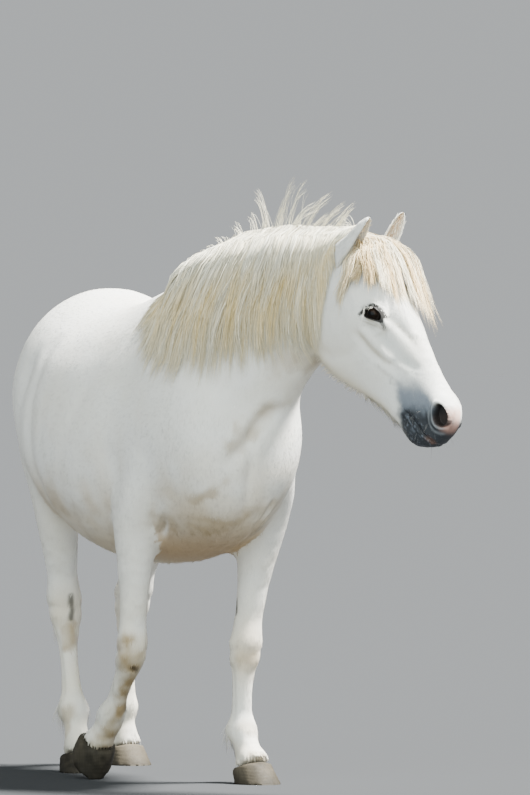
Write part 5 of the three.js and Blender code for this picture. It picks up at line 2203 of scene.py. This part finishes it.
@dataclass
class Hoof:
    """One hoof: a wall with growth rings and a flat sole."""

    leg: str
    voxel: float = 0.0034
    rings: float = 0.0095
    horn: Triple = (0.036, 0.031, 0.022)
    dark: Triple = (0.013, 0.0115, 0.009)
    dust: Triple = (0.105, 0.090, 0.066)

    def build(self) -> Piece:
        """Makes and paints the hoof."""
        node = f"{self.leg}_hoof"
        piece = copied(node + "_horn", [node])
        remesh(piece, self.voxel)
        before = corners(piece)
        soften(piece, 60, ease(0.003, 0.012, before[:, 2]))
        points, normals = corners(piece), outward(piece)
        upright = np.abs(normals[:, 2])
        short = np.sum((before - points) * normals, axis=1)
        points += normals * (spread(piece, short, 60) * (upright < 0.75))[:, None]
        wall = ease(0.8, 0.3, upright) * ease(0.002, 0.01, points[:, 2])
        level = points[:, 2] / self.rings + 0.8 * cloudy(points, 0.05, 3)
        shift = 0.0003 * np.sin(level * 2 * math.pi) + 0.0012 * cloudy(points, 0.02, 5)
        points += normals * (shift * wall)[:, None]
        points[:, 2] = np.where(points[:, 2] < 0.0026, 0.0, points[:, 2])
        place(piece, points)
        paint(piece, TINT, self.tint(points))
        smooth_shaded(piece)
        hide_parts(node)
        return piece

    def tint(self, points: Array) -> Array:
        """The horn's colour: upright streaks, painted shade on the right legs' hooves, deeper towards the
        ground, with each leg's own dust.
        """
        streak = cloudy(points * [1, 1, 0.12], 0.007, 6) * 0.5 + cloudy(points, 0.03, 7) * 0.5
        deep = 0.35 + 0.4 * ease(0.09, 0.02, points[:, 2])
        dust = {"hindleg_left": 0.85, "foreleg_left": 0.45}.get(self.leg, 0.10)
        dusty = np.clip(dust + 0.30 * cloudy(points, 0.018, 9), 0, 1) * ease(-0.02, 0.05, points[:, 2])
        return layered(
            self.horn,
            (self.dark, np.clip(0.3 + 0.5 * streak, 0, 1)),
            # Painted shade: the right legs' hooves darkened, the more towards the ground.
            (self.dark, deep * self.leg.endswith("right")),
            (self.dust, dusty),
        )


# ---------------------------------------------------------------- the studio
@dataclass(frozen=True)
class Lamp:
    """A far lamp: the direction it stands in, its power, its spread in degrees and its colour."""

    name: str
    toward: Triple
    power: float
    spread: float
    tint: Triple


@dataclass(frozen=True)
class Studio:
    """Floor, light and camera."""

    eye: Triple = (-7.134, -18.896, 1.146)
    ahead: tuple[float, float] = (0.354, 0.935)
    turn: float = math.radians(0.424)
    dip: float = math.radians(0.218)
    lens: float = 327.8
    sky: Triple = (0.50, 0.52, 0.53)
    lamps: tuple[Lamp, ...] = (
        Lamp("key", (2.9, -1.0, 6.0), 27.0, 12.0, (1.0, 0.985, 0.93)),
        Lamp("fill", (-3.2, -6.2, 2.8), 3.7, 70.0, (0.91, 1.0, 0.97)),
    )

    def floor(self) -> None:
        """Lays the floor."""
        bpy.ops.object.select_all(action="DESELECT")
        bpy.ops.mesh.primitive_plane_add(size=3000, location=(0, 0, 0))
        made = bpy.context.active_object
        made.name = "floor"
        made.data.materials.append(FloorFinish(self.floor_colour()).material())
        made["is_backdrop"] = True

    def floor_colour(self) -> Triple:
        """The colour that makes the lit floor exactly as bright as the sky, so that no horizon shows."""
        light = np.array(self.sky)
        for lamp in self.lamps:
            light = light + lamp.power * unit(np.array(lamp.toward))[2] * np.array(lamp.tint) / math.pi
        return tuple(float(v) for v in np.array(self.sky) / light)

    def light(self) -> None:
        """Sets the lamps and an even sky."""
        world = bpy.data.worlds.new("studio")
        world.use_nodes = True
        background = world.node_tree.nodes["Background"]
        background.inputs["Color"].default_value = (*self.sky, 1)
        background.inputs["Strength"].default_value = 1.0
        bpy.context.scene.world = world
        for lamp in self.lamps:
            data = bpy.data.lights.new(lamp.name, "SUN")
            data.energy, data.angle, data.color = lamp.power, math.radians(lamp.spread), lamp.tint
            made = linked(lamp.name, data)
            made.rotation_euler = (-Vector(lamp.toward)).to_track_quat("-Z", "Y").to_euler()

    def camera(self) -> None:
        """Sets up the camera."""
        data = bpy.data.cameras.new("camera")
        data.lens, data.sensor_width = self.lens, 36.0
        data.clip_start, data.clip_end = 0.5, 4000
        made = linked("camera", data)
        heading = math.atan2(self.ahead[1], self.ahead[0]) - self.turn
        flat = math.cos(self.dip)
        look = Vector((math.cos(heading) * flat, math.sin(heading) * flat, -math.sin(self.dip)))
        made.location = self.eye
        made.rotation_euler = look.to_track_quat("-Z", "Y").to_euler()
        bpy.context.scene.camera = made


# ---------------------------------------------------------------- the whole
def finish_piece(piece: Piece, material: bpy.types.Material) -> None:
    """Gives a piece its material and its slot, and ties it to the body."""
    piece.data.materials.clear()
    piece.data.materials.append(material)
    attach(piece, "root")
    tris = sum(len(p.vertices) - 2 for p in piece.data.polygons)
    log.info("%s: %d triangles", piece.name, tris)


def build_pony() -> None:
    """Builds and dresses every piece of the pony."""
    skin = Skin().build()
    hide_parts(*FLESH, *EARS)
    finish_piece(skin.piece, SkinFinish().material())
    eye, horn = EyeFinish().material(), HornFinish().material()
    for side in Side:
        finish_piece(Eye(side).build(), eye)
    for leg in LEGS:
        finish_piece(Hoof(leg).build(), horn)
    unwrap = Unwrap(skin.piece)
    ground = Ground(skin)
    short, hair = HairFinish("coat_tufts", 0.6, 0.25).material(), HairFinish("long_hair").material()
    for piece in ShortCoat(ground, unwrap).build():
        finish_piece(piece, short)
    mane = Mane(Drape(Crest(ground), ground), unwrap).build()
    for piece in mane:
        finish_piece(piece, hair)
    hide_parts("mane")
    forelock = Forelock(unwrap, ground).build()
    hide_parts("forelock")
    finish_piece(forelock, hair)
    tail = Tail(unwrap).build()
    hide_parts("tail")
    finish_piece(tail, hair)
    finish_piece(Whiskers(ground, unwrap).build(), hair)


def main() -> None:
    """Builds the pony and the studio, and notes the sizes before and after."""
    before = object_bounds()
    build_pony()
    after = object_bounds()
    for label, (low, high) in (("frame", before), ("shown", after)):
        log.info("%s %s to %s", label, [round(v, 3) for v in low], [round(v, 3) for v in high])
    studio = Studio()
    studio.floor()
    studio.light()
    studio.camera()


if __name__ == "__main__":
    main()
